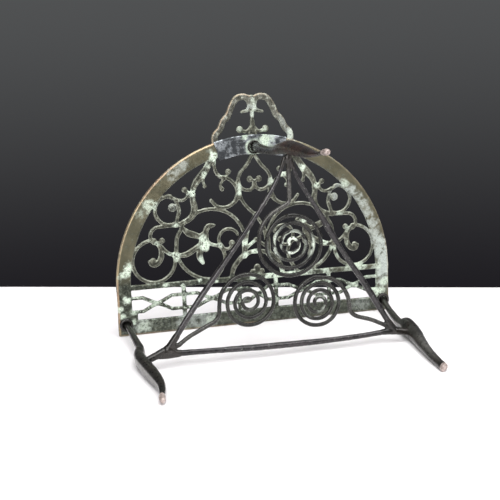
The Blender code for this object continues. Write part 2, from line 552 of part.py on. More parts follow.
def stand_on_floor(stand, parts):
    """Lean the frame back until the plate's lower edge and the lower legs share one floor, centred on it."""
    feet = [bpy.data.objects[name] for name in ("leg_left", "leg_right", "toe_left", "toe_right")]
    corners = [foot.location + vert.co for foot in feet for vert in foot.data.vertices]
    lean = max(math.atan2(-corner.z, RIM_THICK * MM - corner.y) for corner in corners)
    stand.rotation_euler = (-lean, 0, 0)
    bpy.context.view_layer.update()
    points = [thing.matrix_world @ vert.co for thing in parts.objects for vert in thing.data.vertices]
    low_corner, high_corner = ([limit(p[i] for p in points) for i in range(3)] for limit in (min, max))
    stand.location = (-0.5 * (low_corner[0] + high_corner[0]), -0.5 * (low_corner[1] + high_corner[1]),
                      -low_corner[2])


def main():
    clear_scene()
    parts = make_collection("bible_stand")
    holes = make_collection("tenon_holes")
    castings = make_collection("plate_shapes")
    forgings = {place: make_collection(f"lug_{place}_shapes") for place in LUG_APEX}
    scraps = [holes, castings, *forgings.values()]
    stand = bpy.data.objects.new("bible_stand", None)
    bpy.context.scene.collection.objects.link(stand)

    plate = build_plate(parts, castings, holes)
    finish_part(plate, stand, BRASS, 0.55, 0.75)
    finish_part(build_pad(parts, holes), stand, LEAD, 0.5, 0.7)
    for place in LEG_BASES:
        iron = BROWN_IRON if place == "top" else DARK_IRON
        finish_part(build_collar(parts, place), stand, DARK_IRON, 0.6, 0.6)
        finish_part(build_leg(parts, place), stand, iron, 0.45, 0.6)
        finish_part(build_toe(parts, place), stand, PALE_TIP, 0.4, 0.5)
    for place in LUG_APEX:
        finish_part(build_lug(parts, forgings[place], place), stand, DARK_IRON, 0.5, 0.6)
        finish_part(build_spiral(parts, place), stand, WIRE_IRON, 0.55, 0.6)
    for side in ROD_PATHS:
        finish_part(build_rod(parts, side), stand, ROD_IRON, 0.5, 0.7)

    for group in scraps:
        for scrap in list(group.objects):
            bpy.data.objects.remove(scrap, do_unlink=True)
    stand_on_floor(stand, parts)


main()
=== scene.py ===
import json

import bpy
import numpy as np
from mathutils import Matrix, Vector


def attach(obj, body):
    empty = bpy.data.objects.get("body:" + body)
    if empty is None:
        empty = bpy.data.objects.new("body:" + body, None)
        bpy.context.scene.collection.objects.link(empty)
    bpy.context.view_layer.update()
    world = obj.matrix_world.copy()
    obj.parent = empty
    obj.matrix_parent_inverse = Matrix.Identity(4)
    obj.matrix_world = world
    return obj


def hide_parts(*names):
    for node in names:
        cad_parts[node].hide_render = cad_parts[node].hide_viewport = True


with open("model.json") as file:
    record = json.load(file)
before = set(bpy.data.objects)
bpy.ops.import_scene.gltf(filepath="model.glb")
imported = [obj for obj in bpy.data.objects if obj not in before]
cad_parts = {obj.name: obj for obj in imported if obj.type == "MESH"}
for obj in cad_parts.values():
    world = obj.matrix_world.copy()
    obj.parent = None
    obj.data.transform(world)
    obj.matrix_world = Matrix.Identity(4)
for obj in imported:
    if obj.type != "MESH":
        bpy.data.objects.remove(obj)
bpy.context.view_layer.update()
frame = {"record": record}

# Everything is drawn in the plate's own frame, in millimetres: X right, Z up the plate, Y through it with the
# back at Y = 0, the front towards +Y and the legs towards -Y. `stand` turns that frame into the row's.
MM = 0.001
FRONT_Y, FRONT_Z = 4.7, 2.0    # where the record's front_face mount lies in the plate's frame
front = next(m for m in frame["record"]["mounts"] if m["name"] == "front_face")
y_axis = Vector(front["axis"]).normalized()
x_axis = Vector((1, 0, 0))
z_axis = x_axis.cross(y_axis)
origin = Vector(front["pos_m"]) - FRONT_Y * MM * y_axis - FRONT_Z * MM * z_axis
stand = Matrix.Translation(origin) @ Matrix((x_axis, y_axis, z_axis)).transposed().to_4x4()

# plate
HALF_WIDTH = 165.0
ARC_CENTRE_Z = 55.0
RIM = 16.0
BAR_LOW, BAR_UNDER, BAR_TOP = 17.0, 52.0, 58.0
CORNER_WIDE, CORNER_TALL = 22.0, 26.0
LATTICE_BARS = (22.3, 88.4)
RAIL_HIGH, RAIL_LOW = 42.5, 26.5
LATTICE_END = 150.5            # where the outermost rails end, from the centre line
BAR_WIDTH = 4.4                # upright bars of the lattice
TREFOIL_Z, TREFOIL_RADIUS = 66.6, 3.8
CAST_STEP, PAD_STEP = 0.8, 0.7  # size of the faces of the cast pieces
FILLET = 1.7                   # how softly the scrolls run into each other
FRAME_FILLET, BALL_FILLET = 1.2, 0.8
ARC_STEP = 9.0                 # degrees between points on a scroll's arc
OUTSIDE = -50.0                # value of a field well outside the metal
TENON_HOLE = 2.7

# pad under the top leg
GAP = 0.3                      # clearance between pieces that touch on the real object
PAD_LIFT = 1.9                 # how much further out the top leg and its collar start, over the pad
PAD_INNER, PAD_OUTER = 144.2, 166.3
PAD_LEFT_DEG, PAD_RIGHT_DEG = 106.3, 76.2

# The tables below of legs, toes, rods, tails, spirals, scrolls, balls and patches were mostly worked out
# outside this script and entered here, not drawn from driving dimensions, so they are no example to follow.
# legs: rows of depth from the plate, half sizes outwards and across, bow outwards and sway across
LEG_BASES = {"left": (-157.0, 13.3), "right": (157.0, 13.3), "top": (0.0, 207.2)}
LEG_LEAN = {"left": (7.5, -18.3), "right": (-23.0, -16.2), "top": (13.3, 5.9)}
LEG_OUT = {"left": (-0.8, -0.6), "right": (0.8, -0.6), "top": (0.0, 1.0)}
LEAN_DEPTH = 210.0
TENON_RADIUS, TENON_TIP = 2.4, 2.2
COLLAR_INNER = {"left": 3.6, "right": 4.0, "top": 5.9}
COLLAR_OUTER = 7.8
LEG_BODY = {
    "left": ((0, 2.9, 3.0, 0, 0), (10, 2.9, 3.1, -0.6, 0.1), (20, 3.0, 3.2, -1.0, 0.25),
             (35, 3.5, 3.5, -1.4, 0.4), (50, 3.75, 3.75, -1.75, 0.5), (62, 4.0, 4.0, -1.95, 0.55),
             (72, 4.3, 4.2, -2.2, 0.6), (79, 4.5, 4.6, -1.9, 0.5), (85, 4.7, 5.6, -0.7, 0.2),
             (91, 5.0, 6.6, 0.5, -0.1),
             (97, 5.7, 7.2, 1.35, -0.4), (104, 6.5, 7.6, 1.7, -0.5), (114, 7.3, 7.8, 1.6, -0.45),
             (127, 7.45, 7.4, 0.45, -0.1), (140, 7.35, 6.9, -1.0, 0.3), (152, 7.0, 6.3, -2.3, 0.6),
             (164, 6.25, 5.7, -3.5, 1.0), (174, 5.3, 5.0, -4.2, 1.25), (183, 4.0, 4.3, -4.35, 1.3),
             (191, 3.0, 3.6, -3.6, 1.1), (198, 2.4, 2.7, -2.0, 0.6)),
    "right": ((0, 3.3, 3.3, 0, 0), (10, 3.4, 3.2, -0.2, -0.7), (20, 3.4, 3.3, -0.5, -1.6),
              (35, 3.6, 3.5, -0.8, -3.1), (50, 3.9, 4.05, -1.0, -4.0), (62, 4.1, 4.25, -1.1, -4.5),
              (73, 4.3, 4.5, -1.15, -4.6), (80, 5.0, 5.2, -1.0, -4.0), (87, 6.5, 7.2, -0.6, -2.2),
              (94, 7.4, 8.2, -0.5, -1.6),
              (102, 7.9, 9.1, -0.6, -1.6), (110, 8.0, 9.2, -0.6, -1.5), (119, 7.8, 8.8, -0.6, -1.5),
              (128, 7.3, 7.8, -0.5, -1.5), (138, 6.8, 7.0, -0.7, -2.3), (150, 6.2, 6.2, -1.0, -3.2),
              (164, 5.5, 5.4, -1.2, -3.8), (180, 4.7, 5.1, -1.25, -4.2), (191, 4.0, 4.7, -1.2, -4.1),
              (200, 3.5, 4.4, -1.1, -3.8), (205, 3.3, 4.5, -1.0, -3.6), (209, 3.1, 4.5, -0.9, -3.5)),
    "top": ((0, 5.2, 4.8, 0, 0), (12, 5.5, 4.8, -0.5, 0), (22, 5.4, 4.7, -1.2, 0.1),
            (35, 4.85, 4.5, -1.9, 0.2), (48, 4.4, 4.4, -2.4, 0.25), (60, 4.4, 4.5, -2.5, 0.25),
            (69, 4.6, 4.8, -2.1, 0.2),
            (76, 4.95, 5.4, -1.5, 0.15), (84, 5.6, 6.3, -0.4, 0.05), (92, 6.2, 7.0, 0.5, -0.05),
            (100, 6.6, 7.4, 1.2, -0.1), (108, 7.2, 7.6, 1.75, -0.2), (115, 7.5, 7.6, 1.9, -0.2),
            (124, 7.35, 7.3, 1.3, -0.15), (134, 7.0, 6.9, 0.6, -0.05), (145, 6.4, 6.4, -0.25, 0),
            (156, 5.65, 5.8, -1.25, 0.1), (166, 4.6, 5.2, -2.0, 0.2), (176, 3.4, 4.5, -2.55, 0.25),
            (185, 2.4, 3.7, -2.5, 0.25), (191, 2.0, 3.0, -2.0, 0.2), (201, 2.0, 2.6, -0.8, 0.1)),
}
TOE_BODY = {
    "left": ((198, 2.4, 2.7, -2.0, 0.6), (202, 3.3, 3.3, -1.1, 0.4), (206, 3.1, 3.2, -0.5, 0.3),
             (209, 2.5, 2.6, -0.3, 0.25), (210.2, 1.7, 1.8, -0.3, 0.2), (210.5, 0.8, 0.9, -0.3, 0.2)),
    "right": ((208.7, 3.0, 4.4, -0.9, -3.5), (211.5, 3.2, 4.6, -0.85, -3.4), (213.2, 2.9, 4.3, -0.8, -3.3),
              (213.9, 2.3, 3.5, -0.8, -3.2), (214, 1.4, 2.2, -0.8, -3.2)),
    "top": ((200.7, 2.0, 2.6, -0.8, 0.1), (204, 2.9, 3.2, -0.4, 0), (208, 3.2, 3.4, -0.1, 0),
            (211.5, 2.8, 3.0, 0, 0), (213.6, 1.8, 2.1, 0, 0), (214, 0.8, 0.9, 0, 0)),
}

STRETCHER_DEPTH = 114.4
ROD_PATHS = {
    "left": [(-119.5, 25.6), (-104.5, 47.2), (-85.7, 73), (-61.1, 104.2), (-43.9, 126.6), (-27, 149.2),
             (-14.3, 168), (-5.8, 183), (-1.6, 193)],
    "right": [(10.6, 193), (14.4, 182.4), (25.3, 164.1), (36.1, 146.4), (46.7, 128), (52.4, 118.4),
              (61.3, 103.4), (71.7, 87), (85.3, 66.8), (95.2, 50.4), (103.6, 36.6), (114.2, 18.9)],
    "bottom": [(-117.5, 8.9), (-79, 7.4), (-24, 5.6), (40, 4.8), (85, 5.8), (110, 7.3)],
}
ROD_SWELL = {"left": [0.97, 0.97, 0.92, 0.8, 0.78, 0.73, 0.68, 0.64, 0.62],
             "right": [0.62, 0.63, 0.69, 0.78, 1.03, 1.0, 0.85, 0.9, 1.02, 1.0, 0.97, 0.92],
             "bottom": [0.97, 0.95, 1.0, 0.95, 0.9, 0.9]}
ROD_RADIUS = 3.1
TAIL_SWELL = 1.08
TAILS = {"left": [(-116.4, 17.6), (-105, 25.2), (-88, 33.6), (-78, 38.6), (-73.5, 44.5)],
         "right": [(109.8, 15.3), (94, 22.8), (77.5, 28.4), (71, 34.5), (69.5, 43), (67.3, 53), (59.5, 65),
                   (48.5, 72.6)],
         "top": [(5.6, 193), (5.8, 177), (5.8, 163), (5.0, 157.6), (1.8, 154.2), (-6.3, 150), (-12.2, 146.6),
                 (-17.3, 142.4), (-21.6, 137.6), (-25.1, 131.6), (-27.2, 124.6)]}
# centre, first radius, pitch, first angle, turns (negative runs clockwise seen from the legs' side)
SPIRALS = {"left": ((-41.3, 55.6), 31.2, 8.4, 182, -3.35), "right": ((35, 47.5), 28.0, 7.3, 96, 3.3),
           "top": ((7.3, 113.2), 35.4, 8.0, 182, 4.0)}
WIRE_RADIUS = 2.1
LUG_APEX = {"left": (-128.3, 13.6), "right": (122.4, 7.4), "top": (5.8, 199.6)}


def seed_of(first, place):
    """Random seed of a piece, counted up from its kind's first seed."""
    return first + {"left": 0, "right": 2, "top": 4, "bottom": 4}[place]


def lattice_noise(points, size, seed):
    """Smooth noise between -1 and 1 at points in millimetres, with lumps about `size` millimetres wide."""
    table = np.random.RandomState(seed).uniform(-1, 1, (32, 32, 32))
    at = np.asarray(points, float) / size + 100
    low = np.floor(at).astype(int)
    part = at - low
    part = part * part * (3 - 2 * part)
    total = np.zeros(len(at))
    for corner in range(8):
        pick = np.array([corner & 1, corner >> 1 & 1, corner >> 2])
        weight = np.prod(np.where(pick, part, 1 - part), axis=1)
        i, j, k = ((low + pick) % 32).T
        total += weight * table[i, j, k]
    return total


def plane_noise(x, z, size, seed):
    """Smooth noise over the plate's plane, in the shape of x."""
    points = np.column_stack([x.ravel(), 0 * x.ravel(), z.ravel()])
    return lattice_noise(points, size, seed).reshape(x.shape)


def hammer_marks(points, broad, fine, seed, fine_seed):
    """Two sizes of noise over a grid of points, in the grid's shape."""
    flat = points.reshape(-1, 3)
    marks = 0.6 * lattice_noise(flat, broad, seed) + 0.4 * lattice_noise(flat, fine, fine_seed)
    return marks.reshape(points.shape[:-1])


def crown(inside, radius):
    """Height of a rounded edge, 0 at the outline and 1 from `radius` inwards."""
    return np.sqrt(np.maximum(1 - (1 - np.clip(inside / radius, 0, 1)) ** 2, 0))


def smoothstep(low, high, value):
    """0 below low, 1 above high, with a soft rise between them; low may be the larger."""
    t = np.clip((value - low) / (high - low), 0, 1)
    return t * t * (3 - 2 * t)


def spline(points, steps):
    """Catmull-Rom curve through rows of numbers, `steps` pieces between neighbours."""
    p = np.asarray(points, float)
    p = np.vstack([2 * p[0] - p[1], p, 2 * p[-1] - p[-2]])
    t = (np.arange(steps) / steps)[:, None]
    rows = []
    for i in range(1, len(p) - 2):
        a, b, c, d = p[i - 1:i + 3]
        rows.append(0.5 * (2 * b + (c - a) * t + (2 * a - 5 * b + 4 * c - d) * t ** 2
                           + (3 * b - a - 3 * c + d) * t ** 3))
    return np.vstack([*rows, p[-2]])


def arc(x, z, radius, start, end):
    """Points on a circle's arc in the plate's plane, angles in degrees from +X towards +Z."""
    steps = max(4, round(abs(end - start) / ARC_STEP))
    angles = np.radians(np.linspace(start, end, steps + 1))
    return np.column_stack([x + radius * np.cos(angles), z + radius * np.sin(angles)])


def smooth(points):
    """The curve of a scroll through a few points."""
    return spline(points, 6)


# ---------------------------------------------------------------- the cast plate
# The scrolls of the right half: path, then the width at its start, middle and end.
SCROLLS = (
    # volute beside the side band, its chord, its comma and the curl above it
    (arc(121, 83.5, 24.5, 170, 455), 3.8, 3.8, 3.8),
    (smooth([(121, 105.5), (114, 102.5), (107.5, 95), (102, 90.5), (94, 89)]), 3.6, 3.6, 4.2),
    (smooth([(117, 105), (112.5, 97), (112.5, 88), (117, 81), (123, 79.5), (126, 83.5)]), 3.0, 6.2, 3.4),
    (smooth([(119, 105), (113, 104.5), (110.6, 106.6)]), 3.4, 3.4, 3.4),
    # S from the volute up to the round loop, and the loop against the rim with its tail
    (smooth([(120, 105), (123.5, 110.5), (122.5, 117), (117, 122), (107, 122.8), (93, 123.5)]),
     3.6, 3.8, 3.8),
    (arc(100.5, 140.5, 16.3, -115, 98), 3.6, 3.8, 3.6),
    (smooth([(101, 157), (93.5, 153), (85.5, 151), (80, 154), (78.5, 159.5), (82, 162.2)]), 3.4, 3.4, 3.2),
    (smooth([(93.5, 153.5), (91, 147), (89.5, 138.5), (92, 130), (93.5, 123.5)]), 2.6, 4.2, 3.6),
    # leafy stem from the rim, its spur, and the stem down to the volute
    (smooth([(46, 200), (51.5, 192), (57.5, 183), (64.5, 175), (70.5, 167), (74, 156)]), 5.0, 8.0, 4.6),
    (smooth([(73.5, 159), (73, 150), (71.5, 142), (73.5, 134.5), (80, 128), (94, 122.5)]), 4.6, 7.6, 3.8),
    (smooth([(57, 182), (60, 173), (58.5, 165.5)]), 4.2, 3.0, 2.8),
    (smooth([(85, 126), (89, 116.5), (93, 109), (94.5, 98), (95.5, 86)]), 3.8, 4.2, 5.0),
    # the large ring and the flower inside it
    (arc(53.5, 99, 40, 62, 163), 3.6, 3.8, 3.8),
    (arc(53.5, 99, 42, -18, -84), 4.0, 4.0, 4.0),
    (smooth([(86.5, 120), (80.5, 113.5), (73.5, 110.5), (64, 107)]), 2.6, 7.6, 5.0),
    (smooth([(96, 88), (84, 88.5), (75, 93), (64.5, 100)]), 2.8, 6.6, 5.0),
    (smooth([(62.5, 101), (60, 112.5), (56.5, 119), (49.5, 120)]), 8.6, 6.4, 2.8),
    (smooth([(61.5, 108), (66, 95), (68, 85.5), (64.5, 77)]), 8.8, 7.2, 3.6),
    (smooth([(63, 109), (61.6, 101), (60.4, 93.5)]), 7.5, 10.5, 7.5),
    (smooth([(60, 102), (52, 97.5), (43, 95.3)]), 5.0, 3.6, 4.4),
    (arc(33, 102.8, 11.8, -42, 156), 3.4, 3.4, 3.4),
    (smooth([(43.5, 96), (38, 91.6), (32.5, 91.8), (29.3, 97)]), 3.6, 3.2, 3.2),
    (smooth([(43, 96.5), (39.5, 89), (38, 81), (41.5, 70), (50, 57)]), 4.6, 4.0, 4.0),
    # upright beside the centre with its chevron, and the arch over the trefoil
    (smooth([(9, 112.5), (12.5, 104), (14, 95), (14.6, 80.5)]), 2.8, 6.6, 5.2),
    (smooth([(13, 89.5), (7, 94.5), (-0.8, 100.2)]), 3.4, 3.4, 3.4),
    (smooth([(14, 84.5), (22, 76.5), (28.5, 67.5), (31.5, 56)]), 4.6, 5.6, 4.6),
    (smooth([(16, 81), (8, 85), (-1, 85.8)]), 4.6, 4.6, 4.6),
    # heart under the top boss, with the two curls at its cusp
    (smooth([(1.5, 198), (8.5, 187), (15.5, 179.5), (19, 172.5), (19.2, 166)]), 4.2, 3.8, 3.8),
    (smooth([(19.2, 168), (17, 162.5), (11.5, 158.6), (6, 158), (2.5, 160.3), (-0.6, 164)]), 3.8, 3.6, 3.6),
    (smooth([(-0.8, 163), (1.8, 169), (5.2, 170.4)]), 3.4, 3.0, 3.0),
    # S scrolls between the heart and the leafy stem, and the crossing diagonals
    (smooth([(46, 200), (46.5, 188), (44.5, 180), (39.5, 175), (34, 174.5), (30.5, 180)]), 3.8, 3.6, 3.4),
    (smooth([(37, 174.5), (29, 171.3), (22.5, 164), (20, 154.5), (23, 147)]), 3.6, 3.6, 4.4),
    (smooth([(20, 153), (23.5, 146), (32, 140.5), (41, 140), (47, 143), (52, 149)]), 4.4, 3.8, 3.4),
    (smooth([(34, 174), (38.5, 169), (40, 165), (38.5, 161)]), 3.4, 3.0, 3.0),
    (smooth([(19.2, 168), (19.3, 160), (18, 150)]), 4.2, 6.0, 5.0),
    (smooth([(18.5, 153), (13.5, 143.5), (7, 135.5), (-1, 127.5), (-10, 113)]), 3.6, 3.4, 3.4),
    # crest: curled tip under the notch, and the scroll at its foot
    (smooth([(5.5, 262), (3, 255), (5, 249), (12.5, 247)]), 4.2, 4.2, 2.4),
    (smooth([(-0.4, 236), (2, 230), (7.5, 225), (15.2, 226.9)]), 3.8, 3.4, 3.4),
)
CREST = (smooth([(44, 208), (44.5, 221), (38.5, 228), (34, 237.5), (28.5, 243), (23.5, 254),
                 (18.5, 261.5), (11.5, 264), (5, 262.5), (-1.5, 257)]), 7.2, 7.0, 6.6)
MIDDLE = (  # drawn once, on the centre line
    (spline([(0, 262), (0, 246), (0, 232), (0, 218)], 6), 7.4, 3.6, 13.0),
    (spline([(0, 56), (0, 66)], 6), 6.0, 6.0, 6.0),
)
BALLS = ((122, 84, 3.4), (110.6, 106.8, 3.2), (82, 162.8, 3.1), (96.8, 143.5, 4.6), (58.5, 165.5, 2.2),
         (29.3, 97.8, 3.4), (5.4, 170.4, 3.5), (30.4, 180.6, 3.1), (38.5, 161.2, 2.5), (15.2, 227.4, 3.7),
         (5.6, 61.6, 3.1), (74.2, 157.2, 4.3), (47, 200, 5.2), (95.2, 88.6, 4.3))
LEAF_WIDTH = 6.0               # shapes at least this wide are dished leaves

# Verdigris patches on the plate and on the pad: x, z, reach, strength.
PAD_VERDIGRIS = ((13, 214, 6.5, 1), (-11, 220, 3.5, .8), (20, 217, 5, .5), (0, 197, 3, .6))
VERDIGRIS = (
    (-46, 198, 6.3, 1), (-54, 188, 3.7, .7), (-58, 178, 3.7, .8), (-73, 158, 4.8, 1), (-19, 162, 3.7, .8),
    (-18, 155, 3.3, .9), (19, 167, 3.9, .8), (-123, 146, 6.7, .7), (-117, 149, 4.5, .7), (-133, 139, 5.2, .4),
    (-94, 123, 3.6, .8), (-117, 103, 3.9, .7), (-104, 89, 3.3, .8), (-95, 87, 5.1, 1), (-63, 106, 4.8, 1),
    (-61, 97, 5.1, 1), (-51, 97, 3.3, .7), (-43, 96, 2.7, .8), (-66, 80, 4.2, .7), (-13, 98, 4.8, 1),
    (-14, 81, 4.8, 1), (-10, 110, 3.0, .7), (-5, 94, 4.5, .9), (0, 84, 5.6, 1), (-152, 78, 5.6, 1),
    (-156, 71, 5.2, .9), (1, 257, 4.5, .5), (2, 247, 4.5, .5), (-16, 227, 3.7, .5), (13, 226, 3.7, .6),
    (-11, 221, 3.7, .8), (13, 216, 5.4, 1), (43, 219, 5.2, .5), (35, 174, 2.9, .9), (35, 162, 2.4, .6),
    (58, 180, 3.9, 1), (75, 158, 3.9, .8), (110, 159, 4.5, .6), (103, 123, 3.6, .7), (112, 105, 3.6, .5),
    (84, 90, 4.2, 1), (94, 83, 3.6, .8), (100, 73, 3.0, .6), (126, 58, 6.0, .8), (76, 68, 3.9, .7),
    (61, 58, 3.9, .8), (58, 119, 3.9, 1), (-62, 102, 6.5, 1), (-109, 55, 3.3, .9), (-69, 57, 2.1, .9),
    (-50, 54, 2.1, .9), (-89, 51, 3.6, .8), (-90, 40, 4.5, .6), (-123, 36, 5.4, .6),
    (-101, 41, 3.0, .5), (-80, 42, 4.5, .7),
    (-63, 38, 4.5, .6), (-154, 41, 4.2, 1), (-162, 32, 3.6, 1), (-160, 22, 3.6, .9), (-148, 16, 3.6, .8),
    (-138, 9, 6.7, .5), (-148, 27, 3.7, .6), (-60, 10, 4.5, .5), (16, 54, 7.5, 1), (41, 54, 9.0, 1),
    (23, 48, 3.3, .8), (-6, 55, 3.0, .9), (26, 54, 9.0, 1), (58, 54, 9.0, 1), (85, 54, 6.0, .8),
    (114, 55, 7.5, .5), (131, 57, 4.5, .7), (151, 56, 4.5, .6), (144, 42, 7.5, .5), (159, 36, 6.0, .8),
    (154, 22, 6.7, 1), (147, 27, 6.0, .8), (121, 35, 4.5, .8), (91, 44, 4.5, 1), (21, 24, 3.0, .6),
    (112, 32, 4.5, .7), (111, 21, 3.0, .6),
)
# The greyer bloom on the right of the rim and in a few streaks: x, z, reach, strength.
BLOOM = (
    (118, 149, 6, .8), (126, 141, 6, .7), (132, 133, 6, .8), (138, 121, 7, .7), (143, 107, 8, .8),
    (148, 97, 8, .8), (151, 86, 10, 1), (156, 75, 10, 1), (159, 64, 10, 1), (159, 50, 10, 1),
    (159, 38, 9, .8), (-96, 181, 5, .6), (-89, 186, 5, .5), (-83, 191, 5, .6), (1, 250, 8, .7),
    (43, 219, 8, .7), (-72, 13, 12, .5), (-88, 12, 9, .6), (-60, 10, 8, .5), (-66, 80, 5, .9),
    (129, 12, 10, .4), (-140, 9, 8, .5), (40, 238, 7, .4), (104, 157, 6, .5), (96.8, 143.5, 6, .6),
    (-96.8, 143.5, 6, .4), (-42, 36, 8, .4),
)


class Sheet:
    """Fields over the plate's plane, sampled on a square grid: solid is positive inside the metal."""

    def __init__(self, x_low, x_high, z_low, z_high, step):
        self.step = step
        self.x = np.arange(x_low, x_high + step, step)
        self.z = np.arange(z_low, z_high + step, step)
        self.gx, self.gz = np.meshgrid(self.x, self.z, indexing="ij")

    def blank(self):
        return np.full(self.gx.shape, OUTSIDE)

    def window(self, x_low, x_high, z_low, z_high, margin):
        """Slices of the grid round a box."""
        i = np.searchsorted(self.x, [x_low - margin, x_high + margin])
        j = np.searchsorted(self.z, [z_low - margin, z_high + margin])
        return slice(*i), slice(*j)

    def sample(self, grid, x, z):
        """A field's values between the grid's points."""
        u = (x - self.x[0]) / self.step
        v = (z - self.z[0]) / self.step
        i = np.clip(u.astype(int), 0, grid.shape[0] - 2)
        j = np.clip(v.astype(int), 0, grid.shape[1] - 2)
        u, v = u - i, v - j
        return ((grid[i, j] * (1 - u) + grid[i + 1, j] * u) * (1 - v)
                + (grid[i, j + 1] * (1 - u) + grid[i + 1, j + 1] * u) * v)


def blend_max(a, b, soft):
    """The larger of two fields with a fillet where they cross."""
    near = np.maximum(soft - np.abs(a - b), 0) / soft
    return np.maximum(a, b) + near * near * soft * 0.25


def ribbon_field(sheet, path, widths):
    """Window and distance inside a bar whose width swells from start to middle and runs out to end."""
    start, middle, end = widths
    t = np.linspace(0, 1, len(path))
    swell = np.sin(np.pi * t)
    half = 0.5 * ((start * (1 - t) + end * t) * (1 - swell) + middle * swell)
    where = sheet.window(*np.sort(path[:, 0])[[0, -1]], *np.sort(path[:, 1])[[0, -1]], margin=9)
    gx, gz = sheet.gx[where], sheet.gz[where]
    inside = np.full(gx.shape, OUTSIDE)
    for k in range(len(path) - 1):
        (ax, az), (bx, bz) = path[k], path[k + 1]
        dx, dz = bx - ax, bz - az
        s = np.clip(((gx - ax) * dx + (gz - az) * dz) / (dx * dx + dz * dz + 1e-9), 0, 1)
        gap = np.hypot(gx - ax - s * dx, gz - az - s * dz)
        np.maximum(inside, half[k] * (1 - s) + half[k + 1] * s - gap, out=inside)
    return where, inside


def block(sheet, x_low, x_high, z_low, z_high):
    """Distance inside a rectangle."""
    ex = np.abs(sheet.gx - 0.5 * (x_low + x_high)) - 0.5 * (x_high - x_low)
    ez = np.abs(sheet.gz - 0.5 * (z_low + z_high)) - 0.5 * (z_high - z_low)
    return -(np.hypot(np.maximum(ex, 0), np.maximum(ez, 0)) + np.minimum(np.maximum(ex, ez), 0))


def rail_paths():
    """Two rails in each lattice panel, crossing half-way."""
    edges = [-LATTICE_END, *(-x for x in LATTICE_BARS[::-1]), *LATTICE_BARS, LATTICE_END]
    for left, right in zip(edges, edges[1:]):
        middle, reach = 0.5 * (left + right), 0.27 * (right - left)
        for here, there in ((RAIL_HIGH, RAIL_LOW), (RAIL_LOW, RAIL_HIGH)):
            yield np.array([(left - 1, here), (middle - reach, here),
                            (middle - 0.45 * reach, 0.7 * here + 0.3 * there),
                            (middle + 0.45 * reach, 0.3 * here + 0.7 * there),
                            (middle + reach, there), (right + 1, there)])


def plate_fields(sheet):
    """Solid field of the whole casting with the fields that shape its relief."""
    gx, gz = sheet.gx, sheet.gz
    reach = np.where(gz > ARC_CENTRE_Z, np.hypot(gx, gz - ARC_CENTRE_Z), np.abs(gx))
    outline = np.minimum(HALF_WIDTH - reach, gz)
    band = np.minimum(outline, reach - (HALF_WIDTH - RIM))
    bottom = np.minimum(outline, BAR_LOW - gz)
    bar = np.minimum(outline, block(sheet, -HALF_WIDTH, HALF_WIDTH, BAR_UNDER, BAR_TOP))
    frame_field = blend_max(blend_max(band, bottom, FRAME_FILLET), bar, FRAME_FILLET)
    for side in (1, -1):
        low, high = sorted((side * (HALF_WIDTH - CORNER_WIDE), side * HALF_WIDTH))
        corner = np.minimum(outline, block(sheet, low, high, 0, CORNER_TALL))
        frame_field = blend_max(frame_field, corner, FRAME_FILLET)

    scroll, leaf, crest, ball = sheet.blank(), sheet.blank(), sheet.blank(), sheet.blank()

    def put(target, path, widths):
        where, inside = ribbon_field(sheet, path, widths)
        target[where] = blend_max(target[where], inside, FILLET)

    def put_ball(x, z, radius):
        where = sheet.window(x - radius, x + radius, z - radius, z + radius, margin=4)
        inside = radius - np.hypot(gx[where] - x, gz[where] - z)
        scroll[where] = blend_max(scroll[where], inside, BALL_FILLET)
        return where, inside

    for side in (1, -1):
        flip = np.array([side, 1])
        for path, *widths in SCROLLS:
            put(scroll, path * flip, widths)
            if widths[1] >= LEAF_WIDTH:
                put(leaf, path * flip, widths)
        put(scroll, CREST[0] * flip, CREST[1:])
        put(crest, CREST[0] * flip, CREST[1:])
        for x, z, radius in BALLS:
            where, inside = put_ball(side * x, z, radius)
            ball[where] = np.maximum(ball[where], np.where(inside > 0, inside, OUTSIDE))
        for x in LATTICE_BARS:
            put(scroll, np.array([(side * x, BAR_LOW - 3), (side * x, BAR_UNDER + 3)]), [BAR_WIDTH] * 3)
    for path, *widths in MIDDLE:
        put(scroll, path, widths)
    put_ball(0, TREFOIL_Z, TREFOIL_RADIUS)
    for path in rail_paths():
        put(scroll, path, (3.5, 3.8, 3.5))

    solid = blend_max(frame_field, scroll, FILLET)
    for x, z in LEG_BASES.values():
        solid = np.minimum(solid, np.hypot(gx - x, gz - z) - TENON_HOLE)
    solid = solid + 0.13 * plane_noise(gx, gz, 7, 3) * smoothstep(0, 1, 30 - np.abs(outline - 28))
    return {"solid": solid, "frame": frame_field, "leaf": leaf, "ball": ball, "crest": crest,
            "outline": outline, "bottom": bottom}


